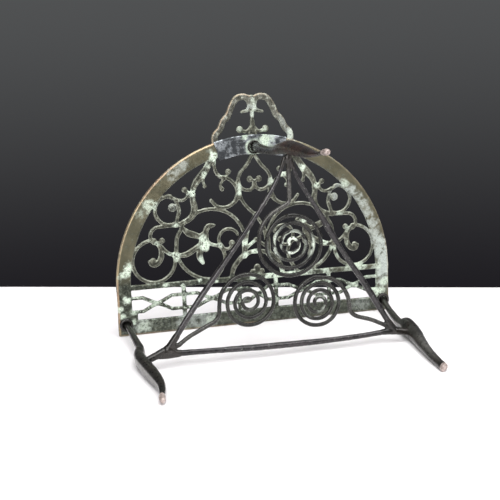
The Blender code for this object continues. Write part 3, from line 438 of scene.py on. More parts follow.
def cast_mesh(sheet, solid):
    """A quad mesh of the region where solid > 0: x, z, quads, directed border edges, outward x and z."""
    step = sheet.step
    inside = solid > -0.45 * step
    keep = inside[:-1, :-1] & inside[1:, :-1] & inside[:-1, 1:] & inside[1:, 1:]
    for _ in range(6):            # no two faces may meet at a single corner only
        a, b, c, d = keep[:-1, :-1], keep[1:, :-1], keep[:-1, 1:], keep[1:, 1:]
        first, second = a & d & ~b & ~c, b & c & ~a & ~d
        if not (first.any() or second.any()):
            break
        keep[1:, :-1] |= first
        keep[:-1, :-1] |= second
    i, j = np.nonzero(keep)
    number = -np.ones(solid.shape, int)
    corners = [(i, j), (i + 1, j), (i + 1, j + 1), (i, j + 1)]
    for ci, cj in corners:
        number[ci, cj] = 0
    used = np.nonzero(number == 0)
    number[used] = np.arange(len(used[0]))
    quads = np.column_stack([number[c] for c in corners])
    x, z = sheet.x[used[0]].copy(), sheet.z[used[1]].copy()
    edges = np.vstack([quads[:, [0, 1]], quads[:, [1, 2]], quads[:, [2, 3]], quads[:, [3, 0]]])
    code = edges[:, 0].astype(np.int64) * len(x) + edges[:, 1]
    back = edges[:, 1].astype(np.int64) * len(x) + edges[:, 0]
    border = edges[~np.isin(code, back)]
    on_border = np.zeros(len(x), bool)
    on_border[border] = True
    grad_x, grad_z = np.gradient(solid, step)

    def pull_to_edge():
        for _ in range(3):
            bx, bz = x[on_border], z[on_border]
            value = sheet.sample(solid, bx, bz)
            gx, gz = sheet.sample(grad_x, bx, bz), sheet.sample(grad_z, bx, bz)
            scale = np.clip(value / (gx * gx + gz * gz + 0.05), -0.6 * step, 0.6 * step)
            x[on_border] = bx - scale * gx
            z[on_border] = bz - scale * gz

    for _ in range(3):
        pull_to_edge()
        for links, moved in ((border, on_border), (edges, ~on_border)):
            total = np.zeros((len(x), 3))
            for one, two in ((0, 1), (1, 0)):
                np.add.at(total, links[:, one],
                          np.column_stack([x[links[:, two]], z[links[:, two]], np.ones(len(links))]))
            count = np.maximum(total[:, 2], 1)
            x[moved] += 0.5 * (total[moved, 0] / count[moved] - x[moved])
            z[moved] += 0.5 * (total[moved, 1] / count[moved] - z[moved])
    pull_to_edge()
    gx, gz = sheet.sample(grad_x, x, z), sheet.sample(grad_z, x, z)
    length = np.maximum(np.hypot(gx, gz), 1e-6)
    return x, z, quads, border, -gx / length, -gz / length


def close_casting(name, flat_mesh, y_back, y_front, walls, attributes):
    """Back and front skins joined by rows of wall faces; walls gives depth and outward step for each row."""
    x, z, quads, border, out_x, out_z = flat_mesh
    count = len(x)
    points = [np.column_stack([x, y_back, z]), np.column_stack([x, y_front, z])]
    faces = [quads, quads[:, ::-1] + count]
    lines = np.unique(border)
    slot = -np.ones(count, int)
    slot[lines] = np.arange(len(lines))
    values = {key: [value, value] for key, value in attributes.items()}
    rows = [np.arange(count)]
    for depth, step in walls:
        rows.append(slot + sum(len(p) for p in points))
        points.append(np.column_stack([x[lines] + out_x[lines] * step[lines], depth[lines],
                                       z[lines] + out_z[lines] * step[lines]]))
        for key, value in attributes.items():
            values[key].append(value[lines])
    rows.append(np.arange(count) + count)
    for here, there in zip(rows, rows[1:]):
        faces.append(np.column_stack([here[border[:, 1]], here[border[:, 0]],
                                      there[border[:, 0]], there[border[:, 1]]]))
    thing = make_piece(name, np.vstack(points), np.vstack(faces))
    for key, value in values.items():
        add_attribute(thing, key, np.concatenate(value))
    return thing


def make_piece(name, points, faces):
    """A smooth-shaded mesh object in the plate's frame from millimetre points."""
    mesh = bpy.data.meshes.new(name)
    mesh.from_pydata((np.asarray(points) * MM).tolist(), [], [list(map(int, face)) for face in faces])
    mesh.validate()
    for face in mesh.polygons:
        face.use_smooth = True
    thing = bpy.data.objects.new(name, mesh)
    thing.matrix_world = stand
    bpy.context.scene.collection.objects.link(thing)
    return thing


def add_attribute(thing, key, values):
    """A number for each point, which the finishes read by its name."""
    layer = thing.data.attributes.new(key, "FLOAT", "POINT")
    layer.data.foreach_set("value", np.asarray(values, np.float32))


def patches(x, z, spots):
    """Strongest of the patches at each point, 0 to 1, with ragged borders."""
    ragged = 0.45 * plane_noise(x, z, 4.5, 11) + 0.35 * plane_noise(x, z, 1.9, 12)
    best = np.zeros(len(x))
    for px, pz, reach, strength in spots:
        gap = np.hypot(x - px, z - pz) / reach
        np.maximum(best, strength * (1 - smoothstep(0.55, 1.45, gap + ragged)), out=best)
    return best


def build_plate():
    """The casting: flat rim and bars, rounded scrolls, dished leaves and domed balls."""
    sheet = Sheet(-168, 168, -2, 270, CAST_STEP)
    fields = plate_fields(sheet)
    x, z, quads, border, out_x, out_z = cast_mesh(sheet, fields["solid"])
    at = {key: sheet.sample(value, x, z) for key, value in fields.items()}
    inside = np.maximum(at["solid"], 0)
    lumps = plane_noise(x, z, 9, 5)
    heavy = smoothstep(-0.6, 1.4, at["frame"])
    crest = smoothstep(-0.5, 1.0, at["crest"]) * (1 - heavy)
    dish = smoothstep(1.2, 2.6, at["leaf"]) * (1 - heavy)
    dome = np.sqrt(np.clip(at["ball"], 0, 3) / 3) * (1 - heavy)
    edge_back = 1.75 * (1 - heavy) + 0.75 * heavy
    edge_front = 2.95 * (1 - heavy) + 3.9 * heavy
    y_back = edge_back - (1.25 * (1 - heavy) * crown(inside, 1.7) + 0.7 * heavy * crown(inside, 1.0))
    y_back += 0.75 * dish - 0.35 * dome + 0.10 * lumps
    y_front = edge_front + 1.15 * (1 - heavy) * crown(inside, 1.8) + 0.7 * heavy * crown(inside, 1.0)
    y_front += 0.5 * dish + 0.4 * dome + 0.08 * lumps
    inner_step = smoothstep(3.2, 4.2, at["outline"]) * heavy * smoothstep(2, 4, z)
    y_front -= 0.45 * inner_step

    on_lip = (at["outline"] < 1.2) & (z > 1.0)
    lip = np.where(on_lip, smoothstep(0.5, 4.0, z), 0.0) * heavy
    span = edge_front - edge_back
    walls = [(edge_back + 0.18 * span, 0.16 + 0 * lip), (edge_back + 0.5 * span, 0.22 + 0 * lip),
             (edge_back + 0.66 * span, 0.16 + 0.25 * lip), (edge_back + 0.8 * span, 0.1 + 1.0 * lip),
             (edge_back + 1.05 * span, 0.02 + 1.05 * lip)]
    on_bottom = z < 0.6
    walls = [(depth, np.where(on_bottom, 0.0, step)) for depth, step in walls]
    z = np.maximum(z, 0.0)

    outward = out_x * x + out_z * (z - 120)
    rim_edge = (1 - smoothstep(0.2, 2.6, at["outline"])) * smoothstep(-0.5, 0.5, at["frame"])
    rim_edge *= smoothstep(0, 40, z) * 0.5 + 0.5
    crest_edge = crest * (1 - smoothstep(0.2, 1.9, inside)) * (outward > 0)
    lattice = (1 - smoothstep(54, 62, z)) * (1 - heavy) + smoothstep(0.5, 3, at["bottom"])
    lattice += heavy * (1 - smoothstep(56, 70, z)) * (1 - 0.5 * smoothstep(60, 140, x))
    attributes = {
        "rub": np.maximum(rim_edge, 0.8 * crest_edge) * (1 - 0.7 * smoothstep(-20, 30, x)),
        "crown": crown(inside, 2.0) * (1 - heavy),
        "sink": dish,
        "lattice": np.clip(lattice, 0, 1),
        "rim": heavy * (1 - smoothstep(0.5, 3, at["bottom"])),
        "crest": crest,
        "heavy": heavy,
        "verdigris": patches(x, z, VERDIGRIS),
        "bloom": patches(x, z, BLOOM),
    }
    flat_mesh = (x, z, quads, border, out_x, out_z)
    return close_casting("plate_casting", flat_mesh, y_back, y_front, walls, attributes)


def build_pad():
    """The thin leaden plate let over the rim behind the top leg."""
    sheet = Sheet(-52, 46, 188, 226, PAD_STEP)
    gx, gz = sheet.gx, sheet.gz
    leg_x, leg_z = LEG_BASES["top"]
    radius, angle = np.hypot(gx, gz - ARC_CENTRE_Z), np.degrees(np.arctan2(gz - ARC_CENTRE_Z, gx))
    wobble = plane_noise(gx, gz, 6, 21)
    band = np.minimum(PAD_OUTER - radius, radius - PAD_INNER - 0.5 * wobble)
    ends = np.minimum(PAD_LEFT_DEG - angle + 0.25 * wobble, angle - PAD_RIGHT_DEG) * np.pi / 180 * radius
    hole = np.hypot(gx - leg_x, gz - leg_z) - TENON_HOLE
    solid = np.minimum(np.minimum(band, ends), hole)
    flat_mesh = cast_mesh(sheet, solid)
    x, z = flat_mesh[:2]
    inside = np.maximum(sheet.sample(solid, x, z), 0)
    lumps = 0.6 * plane_noise(x, z, 8, 22) + 0.3 * plane_noise(x, z, 3, 23)
    ones = np.ones(len(x))
    y_back = -1.1 - 0.75 * crown(inside, 1.2) + 0.18 * lumps
    y_front = -0.28 * ones
    walls = [(-0.75 * ones, 0.12 * ones)]
    ring = 1 - smoothstep(8.0, 11.5, np.hypot(x - leg_x + 0.5, z - leg_z + 0.5))
    ragged = 0.5 * plane_noise(x, z, 3, 24)
    spots = patches(x, z, PAD_VERDIGRIS)
    attributes = {"verdigris": np.clip(np.maximum(ring * (0.85 + ragged), spots), 0, 1)}
    return close_casting("pad_lead", flat_mesh, y_back, y_front, walls, attributes)


# ---------------------------------------------------------------- forged pieces
END_STEPS = (0.45, 0.8, 0.97)  # rings of a bar's rounded end, in radii beyond the path
END_SIZES = (0.88, 0.58, 0.2)


def skin(name, rings):
    """A closed mesh over rings of points, shape (rings, sides, 3), capped with flat faces at both ends."""
    count, sides, _ = rings.shape
    here = np.arange(sides)
    after = (here + 1) % sides
    faces = []
    for ring in range(count - 1):
        low, high = ring * sides, (ring + 1) * sides
        faces.extend(np.column_stack([low + here, low + after, high + after, high + here]))
    faces.append(here[::-1])
    faces.append((count - 1) * sides + here)
    return make_piece(name, rings.reshape(-1, 3), faces)


def section(sides, power):
    """A unit superellipse: 2 is round, larger is squarer."""
    a = 2 * np.pi * np.arange(sides) / sides
    c, s = np.cos(a), np.sin(a)
    scale = (np.abs(c) ** power + np.abs(s) ** power) ** (-1 / power)
    return c * scale, s * scale


def both_ends(rows):
    """The rows with the first and the last one repeated for a bar's rounded ends."""
    return np.vstack([np.repeat(rows[:1], len(END_STEPS), 0), rows, np.repeat(rows[-1:], len(END_STEPS), 0)])


def bar(name, path, radii, sides, power, twist, hammer, seed, flat=1.0):
    """A forged bar in the stretcher's plane with rounded ends and a hammered surface."""
    path = np.asarray(path, float)
    radii = np.asarray(radii, float)
    if path.shape[1] == 2:
        path = np.column_stack([path[:, 0], np.full(len(path), -STRETCHER_DEPTH), path[:, 1]])
    ahead = np.gradient(path, axis=0)
    ahead /= np.linalg.norm(ahead, axis=1)[:, None]
    across = np.cross(ahead, [0, 1, 0])
    across /= np.linalg.norm(across, axis=1)[:, None]
    up = np.cross(across, ahead)
    c, s = section(sides, power)
    turn = twist * np.linspace(0, 1, len(path))[:, None]
    u, v = c * np.cos(turn) - s * np.sin(turn), (c * np.sin(turn) + s * np.cos(turn)) * flat
    u, v, across, up = (both_ends(rows) for rows in (u, v, across, up))
    steps, sizes = np.array(END_STEPS), np.array(END_SIZES)
    first = path[0] - ahead[0] * radii[0] * steps[::-1, None]
    last = path[-1] + ahead[-1] * radii[-1] * steps[:, None]
    path = np.vstack([first, path, last])
    radii = np.concatenate([radii[0] * sizes[::-1], radii, radii[-1] * sizes])
    ray = u[:, :, None] * across[:, None, :] + v[:, :, None] * up[:, None, :]
    base = path[:, None, :] + ray * radii[:, None, None]
    marks = hammer_marks(base, 5.5, 2.4, seed, seed + 7)
    return skin(name, base + ray * (radii[:, None] * hammer * marks)[:, :, None])


def even(path, values, step):
    """A path resampled at even steps, with values carried along."""
    fine = spline(np.column_stack([path, values]), 24)
    gap = np.linalg.norm(np.diff(fine[:, :-1], axis=0), axis=1)
    along = np.concatenate([[0], np.cumsum(gap)])
    at = np.linspace(0, along[-1], max(4, round(along[-1] / step)))
    return np.column_stack([np.interp(at, along, fine[:, k]) for k in range(fine.shape[1])])


def build_rod(side):
    """One side of the stretcher, drawn down where the stock gets thinner."""
    rows = even(ROD_PATHS[side], np.array(ROD_SWELL[side]) * ROD_RADIUS, 1.6)
    return bar(f"rod_{side}_forged", rows[:, :2], rows[:, 2], 20, 2.7, 2.4, 0.07, seed_of(31, side))


def build_spiral(side):
    """A flat wire spiral with the tail that joins it to its lug."""
    (x, z), first, pitch, start, turns = SPIRALS[side]
    seed = seed_of(41, side)
    t = np.linspace(0, 1, round(abs(turns) * 30))
    angle = np.radians(start + 360 * turns * t)
    radius = first - pitch * abs(turns) * t
    coil = np.column_stack([x + radius * np.cos(angle), z + radius * np.sin(angle)])
    wander = np.column_stack([lattice_noise(np.column_stack([coil, 0 * t]), 13, seed + k) for k in range(2)])
    coil += 0.35 * wander * smoothstep(0, 0.1, t)[:, None]
    path = np.vstack([TAILS[side], coil])
    taper = np.concatenate([np.full(len(TAILS[side]), TAIL_SWELL), 1 - 0.10 * t])
    rows = even(path, taper * WIRE_RADIUS, 1.5)
    lift = 0.45 * lattice_noise(np.column_stack([rows[:, :2], 0 * rows[:, 0]]), 16, seed + 3)
    points = np.column_stack([rows[:, 0], -STRETCHER_DEPTH + lift, rows[:, 1]])
    coiled = bar(f"spiral_{side}_wire", points, rows[:, 2], 14, 2.2, 5.0, 0.06, seed)
    place = np.empty(3 * len(coiled.data.vertices))
    coiled.data.vertices.foreach_get("co", place)
    place = place.reshape(-1, 3) / MM
    reach = np.hypot(place[:, 0] - x, place[:, 2] - z)
    around = np.degrees(np.arctan2(place[:, 2] - z, place[:, 0] - x))
    # Pale verdigris flakes on the coils, broken into short arcs that also stand in for painted glints along
    # the wire.
    heart = 1 - smoothstep(0.25, 0.48, reach / first)
    sides = bump(reach / first, 0.62, 0.10) * np.maximum(bump(abs(around), 170, 35), bump(around, -10, 25))
    strength = {"left": (0.08, 0.1), "right": (0.35, 0.3), "top": (1.0, 0.9)}[side]
    arc_length = np.radians(around) * reach
    glint_dashes = lattice_noise(np.column_stack([reach, 0.30 * arc_length, 0 * reach]), 1.9, seed + 9)
    age = np.clip(strength[0] * heart + strength[1] * sides, 0, 1)
    add_attribute(coiled, "age", age * smoothstep(0.0, 0.25, glint_dashes))
    # Painted sheen: the tails outside the coil are painted paler.
    tail_sheen = {"left": 0.15, "right": 0.15, "top": 0.45}[side]
    add_attribute(coiled, "painted_sheen", tail_sheen * smoothstep(1.03, 1.15, reach / first))
    return coiled


def leg_centre(place, depth, bow, sway):
    """Centres of a leg's sections in the plate's plane."""
    base, lean, out = (np.array(d[place]) for d in (LEG_BASES, LEG_LEAN, LEG_OUT))
    across = np.array([-out[1], out[0]])
    depth, bow, sway = (np.atleast_1d(v)[:, None] for v in (depth, bow, sway))
    return base + lean * np.maximum(depth, 0) / LEAN_DEPTH + out * bow + across * sway


def knee_centre(place):
    """Centre of a leg in the stretcher's plane."""
    body = np.array(LEG_BODY[place])
    bow, sway = (np.interp(STRETCHER_DEPTH, body[:, 0], body[:, k]) for k in (3, 4))
    return leg_centre(place, STRETCHER_DEPTH, bow, sway)[0]


def build_lug(place):
    """Forged corner: a stem from the leg that splits into two rods and the spiral's tail, grown together."""
    apex = np.array(LUG_APEX[place])
    knee = knee_centre(place)
    rods = {"left": (("left", 1), ("bottom", 1)), "right": (("right", -1), ("bottom", -1)),
            "top": (("left", -1), ("right", 1))}[place]
    branches = [(ROD_PATHS[side][::way], ROD_RADIUS * ROD_SWELL[side][::way][0]) for side, way in rods]
    branches.append((TAILS[place], WIRE_RADIUS))
    seed = seed_of(51, place)
    if place == "top":
        apex = apex + (0, 2.0)
    thin, thick = {"left": (3.4, 5.3), "right": (3.6, 4.6), "top": (3.4, 3.2)}[place]
    beyond = apex + 0.25 * (apex - knee) / max(1, np.linalg.norm(apex - knee) / 8)
    stem = spline([knee, 0.5 * (knee + apex), apex, beyond], 5)
    bars = [bar("stem", stem, np.linspace(thin, thick, len(stem)), 16, 2.6, 0.3, 0.06, seed, flat=0.85)]
    for number, (path, radius) in enumerate(branches):
        end, ahead = np.array(path[0]), np.array(path[1]) - np.array(path[0])
        ahead /= np.linalg.norm(ahead)
        spread = (-4.0, 1.8, 0)[number] if place == "top" else 0
        way = spline([apex + (spread, 0), end, end + ahead * 2.0, end + ahead * 4.0], 6)
        bars.append(bar("branch", way, np.linspace(radius * 1.3, radius * 1.02, len(way)), 16, 2.4, 0, 0.05,
                        seed + number + 1))
    if place == "left":                            # the corner is forged flat and full along its underside
        heel = np.array([(-139, 7.6), (-128, 7.3), (-117.6, 7.6)])
        bars.append(bar("heel", heel, [2.9, 3.1, 2.9], 16, 2.4, 0, 0.05, seed + 8))
    inward = {"left": 4.2, "right": -4.2, "top": 0.8}[place]
    swell = {"left": (5.2, 4.3), "right": (4.6, 3.4), "top": (3.0, 3.0)}[place]
    web = np.array([apex, apex + (inward, -0.2 * abs(inward))])
    middle = bar("web", web, swell, 16, 2.1, 0, 0.04, seed + 9)
    return grow_together(f"lug_{place}_forged", [*bars, middle], 0.55, 9)


def grow_together(name, things, voxel, passes):
    """Join overlapping closed meshes into one skin and soften its creases."""
    joined = things[0]
    with bpy.context.temp_override(active_object=joined, selected_editable_objects=things):
        bpy.ops.object.join()
    remesh = joined.modifiers.new("skin", "REMESH")
    remesh.mode = "VOXEL"
    remesh.voxel_size = voxel * MM
    soften = joined.modifiers.new("soften", "SMOOTH")
    soften.factor = 0.5
    soften.iterations = passes
    bpy.context.view_layer.update()
    done = joined.evaluated_get(bpy.context.evaluated_depsgraph_get())
    mesh = bpy.data.meshes.new_from_object(done)
    matrix = joined.matrix_world.copy()
    bpy.data.objects.remove(joined)
    mesh.name = name
    for face in mesh.polygons:
        face.use_smooth = True
    thing = bpy.data.objects.new(name, mesh)
    thing.matrix_world = matrix
    bpy.context.scene.collection.objects.link(thing)
    return thing


def loft(name, place, rows, sides, power, hammer, seed, shape=None):
    """A forged skin over near-elliptical sections in planes of constant depth."""
    depth, radial, tangential, bow, sway = rows.T
    out = np.array(LEG_OUT[place])
    across = np.array([-out[1], out[0]])
    centre = leg_centre(place, depth, bow, sway)
    c, s = section(sides, power)
    reach = np.ones((len(rows), sides))
    if shape is not None:
        reach = reach * shape(depth[:, None], 2 * np.pi * np.arange(sides)[None, :] / sides)
    flat = (out[None, None, :] * (radial[:, None] * c[None, :] * reach)[:, :, None]
            + across[None, None, :] * (tangential[:, None] * s[None, :] * reach)[:, :, None])
    points = np.empty((len(rows), sides, 3))
    points[:, :, 0] = centre[:, None, 0] + flat[:, :, 0]
    points[:, :, 1] = -depth[:, None]
    points[:, :, 2] = centre[:, None, 1] + flat[:, :, 1]
    points[:, :, [0, 2]] += flat * hammer * hammer_marks(points, 8, 3.2, seed, seed + 1)[:, :, None]
    return skin(name, points)


def bump(value, centre, width):
    """1 at the centre, falling off on both sides."""
    return np.exp(-((value - centre) / width) ** 2)


def turn_from(angle, centre):
    """Signed angle from a centre, between -pi and pi."""
    return (angle - centre + np.pi) % (2 * np.pi) - np.pi


def facet(angle, towards, distance):
    """Reach of a unit circle cut off by a chord at a distance from its centre."""
    cosine = np.maximum(np.cos(turn_from(angle, towards)), 0.05)
    return np.maximum(distance / cosine, 0.2)


def build_leg(place):
    """Forged leg with its tenon; each leg has its own facets and hollows, with a painted sheen on the side
    legs and a darker stem on the top leg.
    """
    start = GAP + (PAD_LIFT if place == "top" else 0)
    fine = spline(LEG_BODY[place], 8)
    fine = fine[fine[:, 0] > start + 0.1]
    tenon = np.array([(depth, radius, radius, 0, 0) for depth, radius in
                      ((-3.4, TENON_TIP), (-3.2, TENON_RADIUS), (start, TENON_RADIUS))])
    first = np.array([(start + 0.05, *LEG_BODY[place][0][1:])])
    rows = np.vstack([tenon, first, fine])
    seed = seed_of(61, place)

    def left(depth, angle):
        step = 0.10 * bump(depth, 88, 4) * bump(turn_from(angle, -2.4), 0, 0.8)
        flat = 1.00 - 0.17 * smoothstep(88, 120, depth) + 0.20 * smoothstep(180, 196, depth)
        return np.minimum(1 + step, facet(angle, -0.70, flat))

    def right(depth, angle):
        hump = 0.13 * bump(depth, 92, 9) * bump(turn_from(angle, 1.6), 0, 0.8)
        hollow = -0.14 * bump(depth, 112, 7) * bump(turn_from(angle, 2.9), 0, 0.6)
        return 1 + hump + hollow

    def top(depth, angle):
        ridge = 0.06 * bump(turn_from(angle, 1.3), 0, 0.4) * smoothstep(80, 100, depth)
        return 1 + ridge

    count = 40
    leg = loft(f"leg_{place}_forged", place, rows, count, 2.2, 0.035, seed,
               {"left": left, "right": right, "top": top}[place])
    depth = np.repeat(rows[:, 0], count)
    angle = np.tile(2 * np.pi * np.arange(count) / count, len(rows))
    if place == "left":
        # Painted reflection of the floor: a pale band along the left leg's lower facet.
        reach = smoothstep(92, 112, depth) * (1 - smoothstep(182, 196, depth))
        add_attribute(leg, "painted_sheen", 0.5 * reach * smoothstep(0.75, 0.25, np.abs(turn_from(angle, -0.85))))
    if place == "top":
        # The top leg's stem is painted darker near the plate.
        add_attribute(leg, "shade", 1 - smoothstep(70, 95, depth))
    if place == "right":
        # Painted highlight: a pale band along the middle of the right leg, with a faint paler band near its
        # stem.
        sheen_paint = 0.8 * bump(depth, 165, 30) * bump(turn_from(angle, 2.4), 0, 0.8)
        add_attribute(leg, "painted_sheen", sheen_paint + 0.1 * bump(depth, 40, 20))
    return leg


def build_toe(place):
    """Pale tip at the leg's end."""
    seed = seed_of(71, place)
    return loft(f"toe_{place}_cap", place, spline(TOE_BODY[place], 8), 36, 2.1, 0.03, seed)


def build_collar(place):
    """Raised ring round the leg where it enters the plate, a little uneven as hand-finished rings are."""
    x, z = LEG_BASES[place]
    start = GAP + (PAD_LIFT if place == "top" else 0)
    inner = COLLAR_INNER[place]
    profile = np.array([(0, 0.0), (0.5, 0.0), (1, 0.0), (1, 0.9), (0.97, 1.8), (0.86, 2.5), (0.7, 2.9),
                        (0.5, 3.0), (0.32, 2.9), (0.15, 2.6), (0.03, 2.1), (0, 1.2)])
    profile[:, 0] = inner + (COLLAR_OUTER - inner) * profile[:, 0]
    turns, count = 60, len(profile)
    a = 2 * np.pi * np.arange(turns) / turns
    points = np.empty((turns, count, 3))
    points[:, :, 0] = x + profile[None, :, 0] * np.cos(a)[:, None]
    points[:, :, 1] = -start - profile[None, :, 1]
    points[:, :, 2] = z + profile[None, :, 0] * np.sin(a)[:, None]
    seed = {"left": 81, "right": 82, "top": 83}[place]
    noise = lattice_noise(points.reshape(-1, 3), 3.5, seed).reshape(turns, count)
    points[:, 2:, 1] += 0.22 * noise[:, 2:] * smoothstep(0, 2, profile[2:, 1])[None, :]
    i, j = np.meshgrid(np.arange(turns), np.arange(count), indexing="ij")
    ni, nj = (i + 1) % turns, (j + 1) % count
    faces = np.stack([i * count + j, i * count + nj, ni * count + nj, ni * count + j], -1).reshape(-1, 4)
    return make_piece(f"collar_{place}_ring", points.reshape(-1, 3), faces)


# ---------------------------------------------------------------- finishes
class Nodes:
    """Short names for shader nodes; a value may be a number, a colour or another node's output."""

    def __init__(self, tree):
        self.tree = tree

    def node(self, kind, settings=None, **inputs):
        made = self.tree.nodes.new(kind)
        for key, value in (settings or {}).items():
            setattr(made, key, value)
        for key, value in inputs.items():
            self.feed(made.inputs[key], value)
        return made

    def feed(self, socket, value):
        if isinstance(value, bpy.types.NodeSocket):
            self.tree.links.new(value, socket)
        elif isinstance(value, tuple) and len(value) == 3 and socket.type == "RGBA":
            socket.default_value = (*value, 1)
        else:
            socket.default_value = value

    def ramp(self, value, low, high, out_low=0.0, out_high=1.0):
        made = self.node("ShaderNodeMapRange", {"interpolation_type": "SMOOTHSTEP"}, Value=value)
        for key, number in (("From Min", low), ("From Max", high), ("To Min", out_low), ("To Max", out_high)):
            self.feed(made.inputs[key], number)
        return made.outputs[0]

    def maths(self, operation, a, b):
        made = self.node("ShaderNodeMath", {"operation": operation, "use_clamp": True})
        self.feed(made.inputs[0], a)
        self.feed(made.inputs[1], b)
        return made.outputs[0]

    def mix(self, factor, a, b):
        made = self.node("ShaderNodeMix", {"data_type": "RGBA"})
        for number, value in ((0, factor), (6, a), (7, b)):
            self.feed(made.inputs[number], value)
        return made.outputs[2]

    def blend(self, factor, a, b):
        made = self.node("ShaderNodeMix", {"data_type": "FLOAT"})
        for number, value in ((0, factor), (2, a), (3, b)):
            self.feed(made.inputs[number], value)
        return made.outputs[0]


class Finish(Nodes):
    """A node material built up in layers of colour, roughness and metal."""

    def __init__(self, name):
        self.material = bpy.data.materials.new(name)
        self.material.use_nodes = True
        super().__init__(self.material.node_tree)
        self.shader = self.tree.nodes["Principled BSDF"]
        self.where = self.tree.nodes.new("ShaderNodeTexCoord").outputs["Object"]

    def noise(self, size, detail=4, rough=0.55):
        """Noise with lumps about `size` millimetres wide."""
        return self.node("ShaderNodeTexNoise", Vector=self.where, Scale=1 / (size * MM), Detail=detail,
                         Roughness=rough).outputs["Fac"]

    def field(self, name):
        return self.node("ShaderNodeAttribute", {"attribute_name": name}).outputs["Fac"]

    def done(self, colour, rough, metal, height=None, strength=0.3, distance=0.3, coat=0.0, coat_rough=0.2):
        """Feed the shader and return the material; a height becomes a bump `distance` millimetres deep."""
        for key, value in (("Base Color", colour), ("Roughness", rough), ("Metallic", metal),
                           ("Coat Weight", coat), ("Coat Roughness", coat_rough)):
            self.feed(self.shader.inputs[key], value)
        if height is not None:
            made = self.node("ShaderNodeBump", Strength=strength, Distance=distance * MM, Height=height)
            self.feed(self.shader.inputs["Normal"], made.outputs[0])
        return self.material


VERDIGRIS_PALE, VERDIGRIS_DEEP = (0.66, 0.75, 0.63), (0.33, 0.42, 0.32)
BLOOM_GREY, BLOOM_PALE = (0.36, 0.40, 0.37), (0.54, 0.59, 0.55)


def brass_finish():
    """Aged brass: rubbed rim and crest, painted highlights along the scrolls' edges, dark dished leaves, grey
    bloom, verdigris in patches and specks.
    """
    f = Finish("aged_brass")
    broad, fine, grit = f.noise(22, 5), f.noise(5, 5, 0.6), f.noise(1.3, 3, 0.6)
    base = f.mix(f.ramp(broad, 0.35, 0.68), (0.090, 0.086, 0.054), (0.155, 0.143, 0.092))
    base = f.mix(f.ramp(fine, 0.48, 0.72, 0, 0.55), base, (0.050, 0.052, 0.040))
    middle = f.mix(f.ramp(fine, 0.40, 0.62), (0.045, 0.048, 0.038), (0.150, 0.150, 0.115))
    # Painted highlight: the scrolls' rounded edges are painted paler than their middles.
    edge = f.mix(f.ramp(f.noise(7, 5, 0.6), 0.30, 0.70), (0.130, 0.135, 0.105), (0.400, 0.420, 0.350))
    scroll = f.mix(f.ramp(f.field("crown"), 0.35, 0.92), edge, middle)
    colour = f.mix(f.field("rim"), scroll, base)
    lattice = f.mix(f.ramp(fine, 0.35, 0.65), (0.020, 0.025, 0.020), (0.075, 0.082, 0.062))
    flecks = f.maths("MULTIPLY", f.ramp(f.noise(3.5, 6, 0.7), 0.50, 0.60, 0, 0.9),
                     f.blend(f.field("heavy"), 1.0, 0.15))
    lattice = f.mix(flecks, lattice, (0.52, 0.60, 0.50))
    colour = f.mix(f.maths("MULTIPLY", f.field("lattice"), 0.94), colour, lattice)
    crest = f.mix(f.ramp(fine, 0.4, 0.65), (0.10, 0.10, 0.08), (0.24, 0.24, 0.205))
    colour = f.mix(f.field("crest"), colour, crest)
    petal = f.mix(f.ramp(fine, 0.40, 0.62), (0.060, 0.062, 0.048), (0.160, 0.160, 0.125))
    colour = f.mix(f.maths("MULTIPLY", f.field("sink"), 0.8), colour, petal)
    bloom = f.maths("MULTIPLY", f.field("bloom"), f.ramp(f.noise(7.0, 7, 0.66), 0.34, 0.52))
    chalk = f.mix(f.ramp(grit, 0.35, 0.6), BLOOM_GREY, BLOOM_PALE)
    colour = f.mix(f.maths("MULTIPLY", bloom, 0.9), colour, chalk)
    rub = f.maths("MULTIPLY", f.field("rub"), f.ramp(f.noise(9, 5, 0.65), 0.30, 0.52, 0.35, 1))
    bare = f.mix(f.ramp(f.noise(30, 2), 0.4, 0.6), (0.56, 0.43, 0.26), (0.52, 0.35, 0.23))
    colour = f.mix(rub, colour, bare)
    green = f.maths("MULTIPLY", f.field("verdigris"), f.ramp(f.noise(3.2, 6, 0.72), 0.36, 0.49))
    specks = f.maths("MULTIPLY", f.ramp(f.noise(5, 6, 0.78), 0.56, 0.66), 0.65)
    specks = f.maths("MULTIPLY", specks, f.blend(f.field("rim"), f.blend(f.field("heavy"), 1.0, 0.3), 0.3))
    green = f.maths("MAXIMUM", green, specks)
    colour = f.mix(green, colour, f.mix(f.ramp(grit, 0.30, 0.55), VERDIGRIS_DEEP, VERDIGRIS_PALE))
    rough = f.blend(rub, f.ramp(fine, 0.3, 0.7, 0.34, 0.55), 0.30)
    rough = f.blend(f.maths("MAXIMUM", green, bloom), rough, 0.85)
    metal = f.blend(green, f.blend(bloom, 0.75, 0.3), 0.0)
    height = f.maths("ADD", f.maths("MULTIPLY", grit, 0.4), f.maths("MULTIPLY", green, 0.6))
    return f.done(colour, rough, metal, height, 0.45, 0.35)


def lead_finish():
    """Mottled grey lead with verdigris round the collar."""
    f = Finish("leaden_pad")
    broad, fine, grit = f.noise(9, 5, 0.6), f.noise(3, 5, 0.65), f.noise(1.0, 3)
    colour = f.mix(f.ramp(broad, 0.43, 0.58), (0.055, 0.06, 0.065), (0.36, 0.39, 0.41))
    colour = f.mix(f.ramp(fine, 0.58, 0.74, 0, 0.8), colour, (0.70, 0.73, 0.75))
    green = f.maths("MULTIPLY", f.field("verdigris"), f.ramp(f.noise(2.2, 5, 0.7), 0.28, 0.46))
    colour = f.mix(green, colour, f.mix(f.ramp(grit, 0.35, 0.65), VERDIGRIS_DEEP, VERDIGRIS_PALE))
    rough = f.blend(green, f.ramp(broad, 0.35, 0.65, 0.45, 0.26), 0.85)
    return f.done(colour, rough, f.blend(green, 0.85, 0.0), fine, 0.5, 0.5)


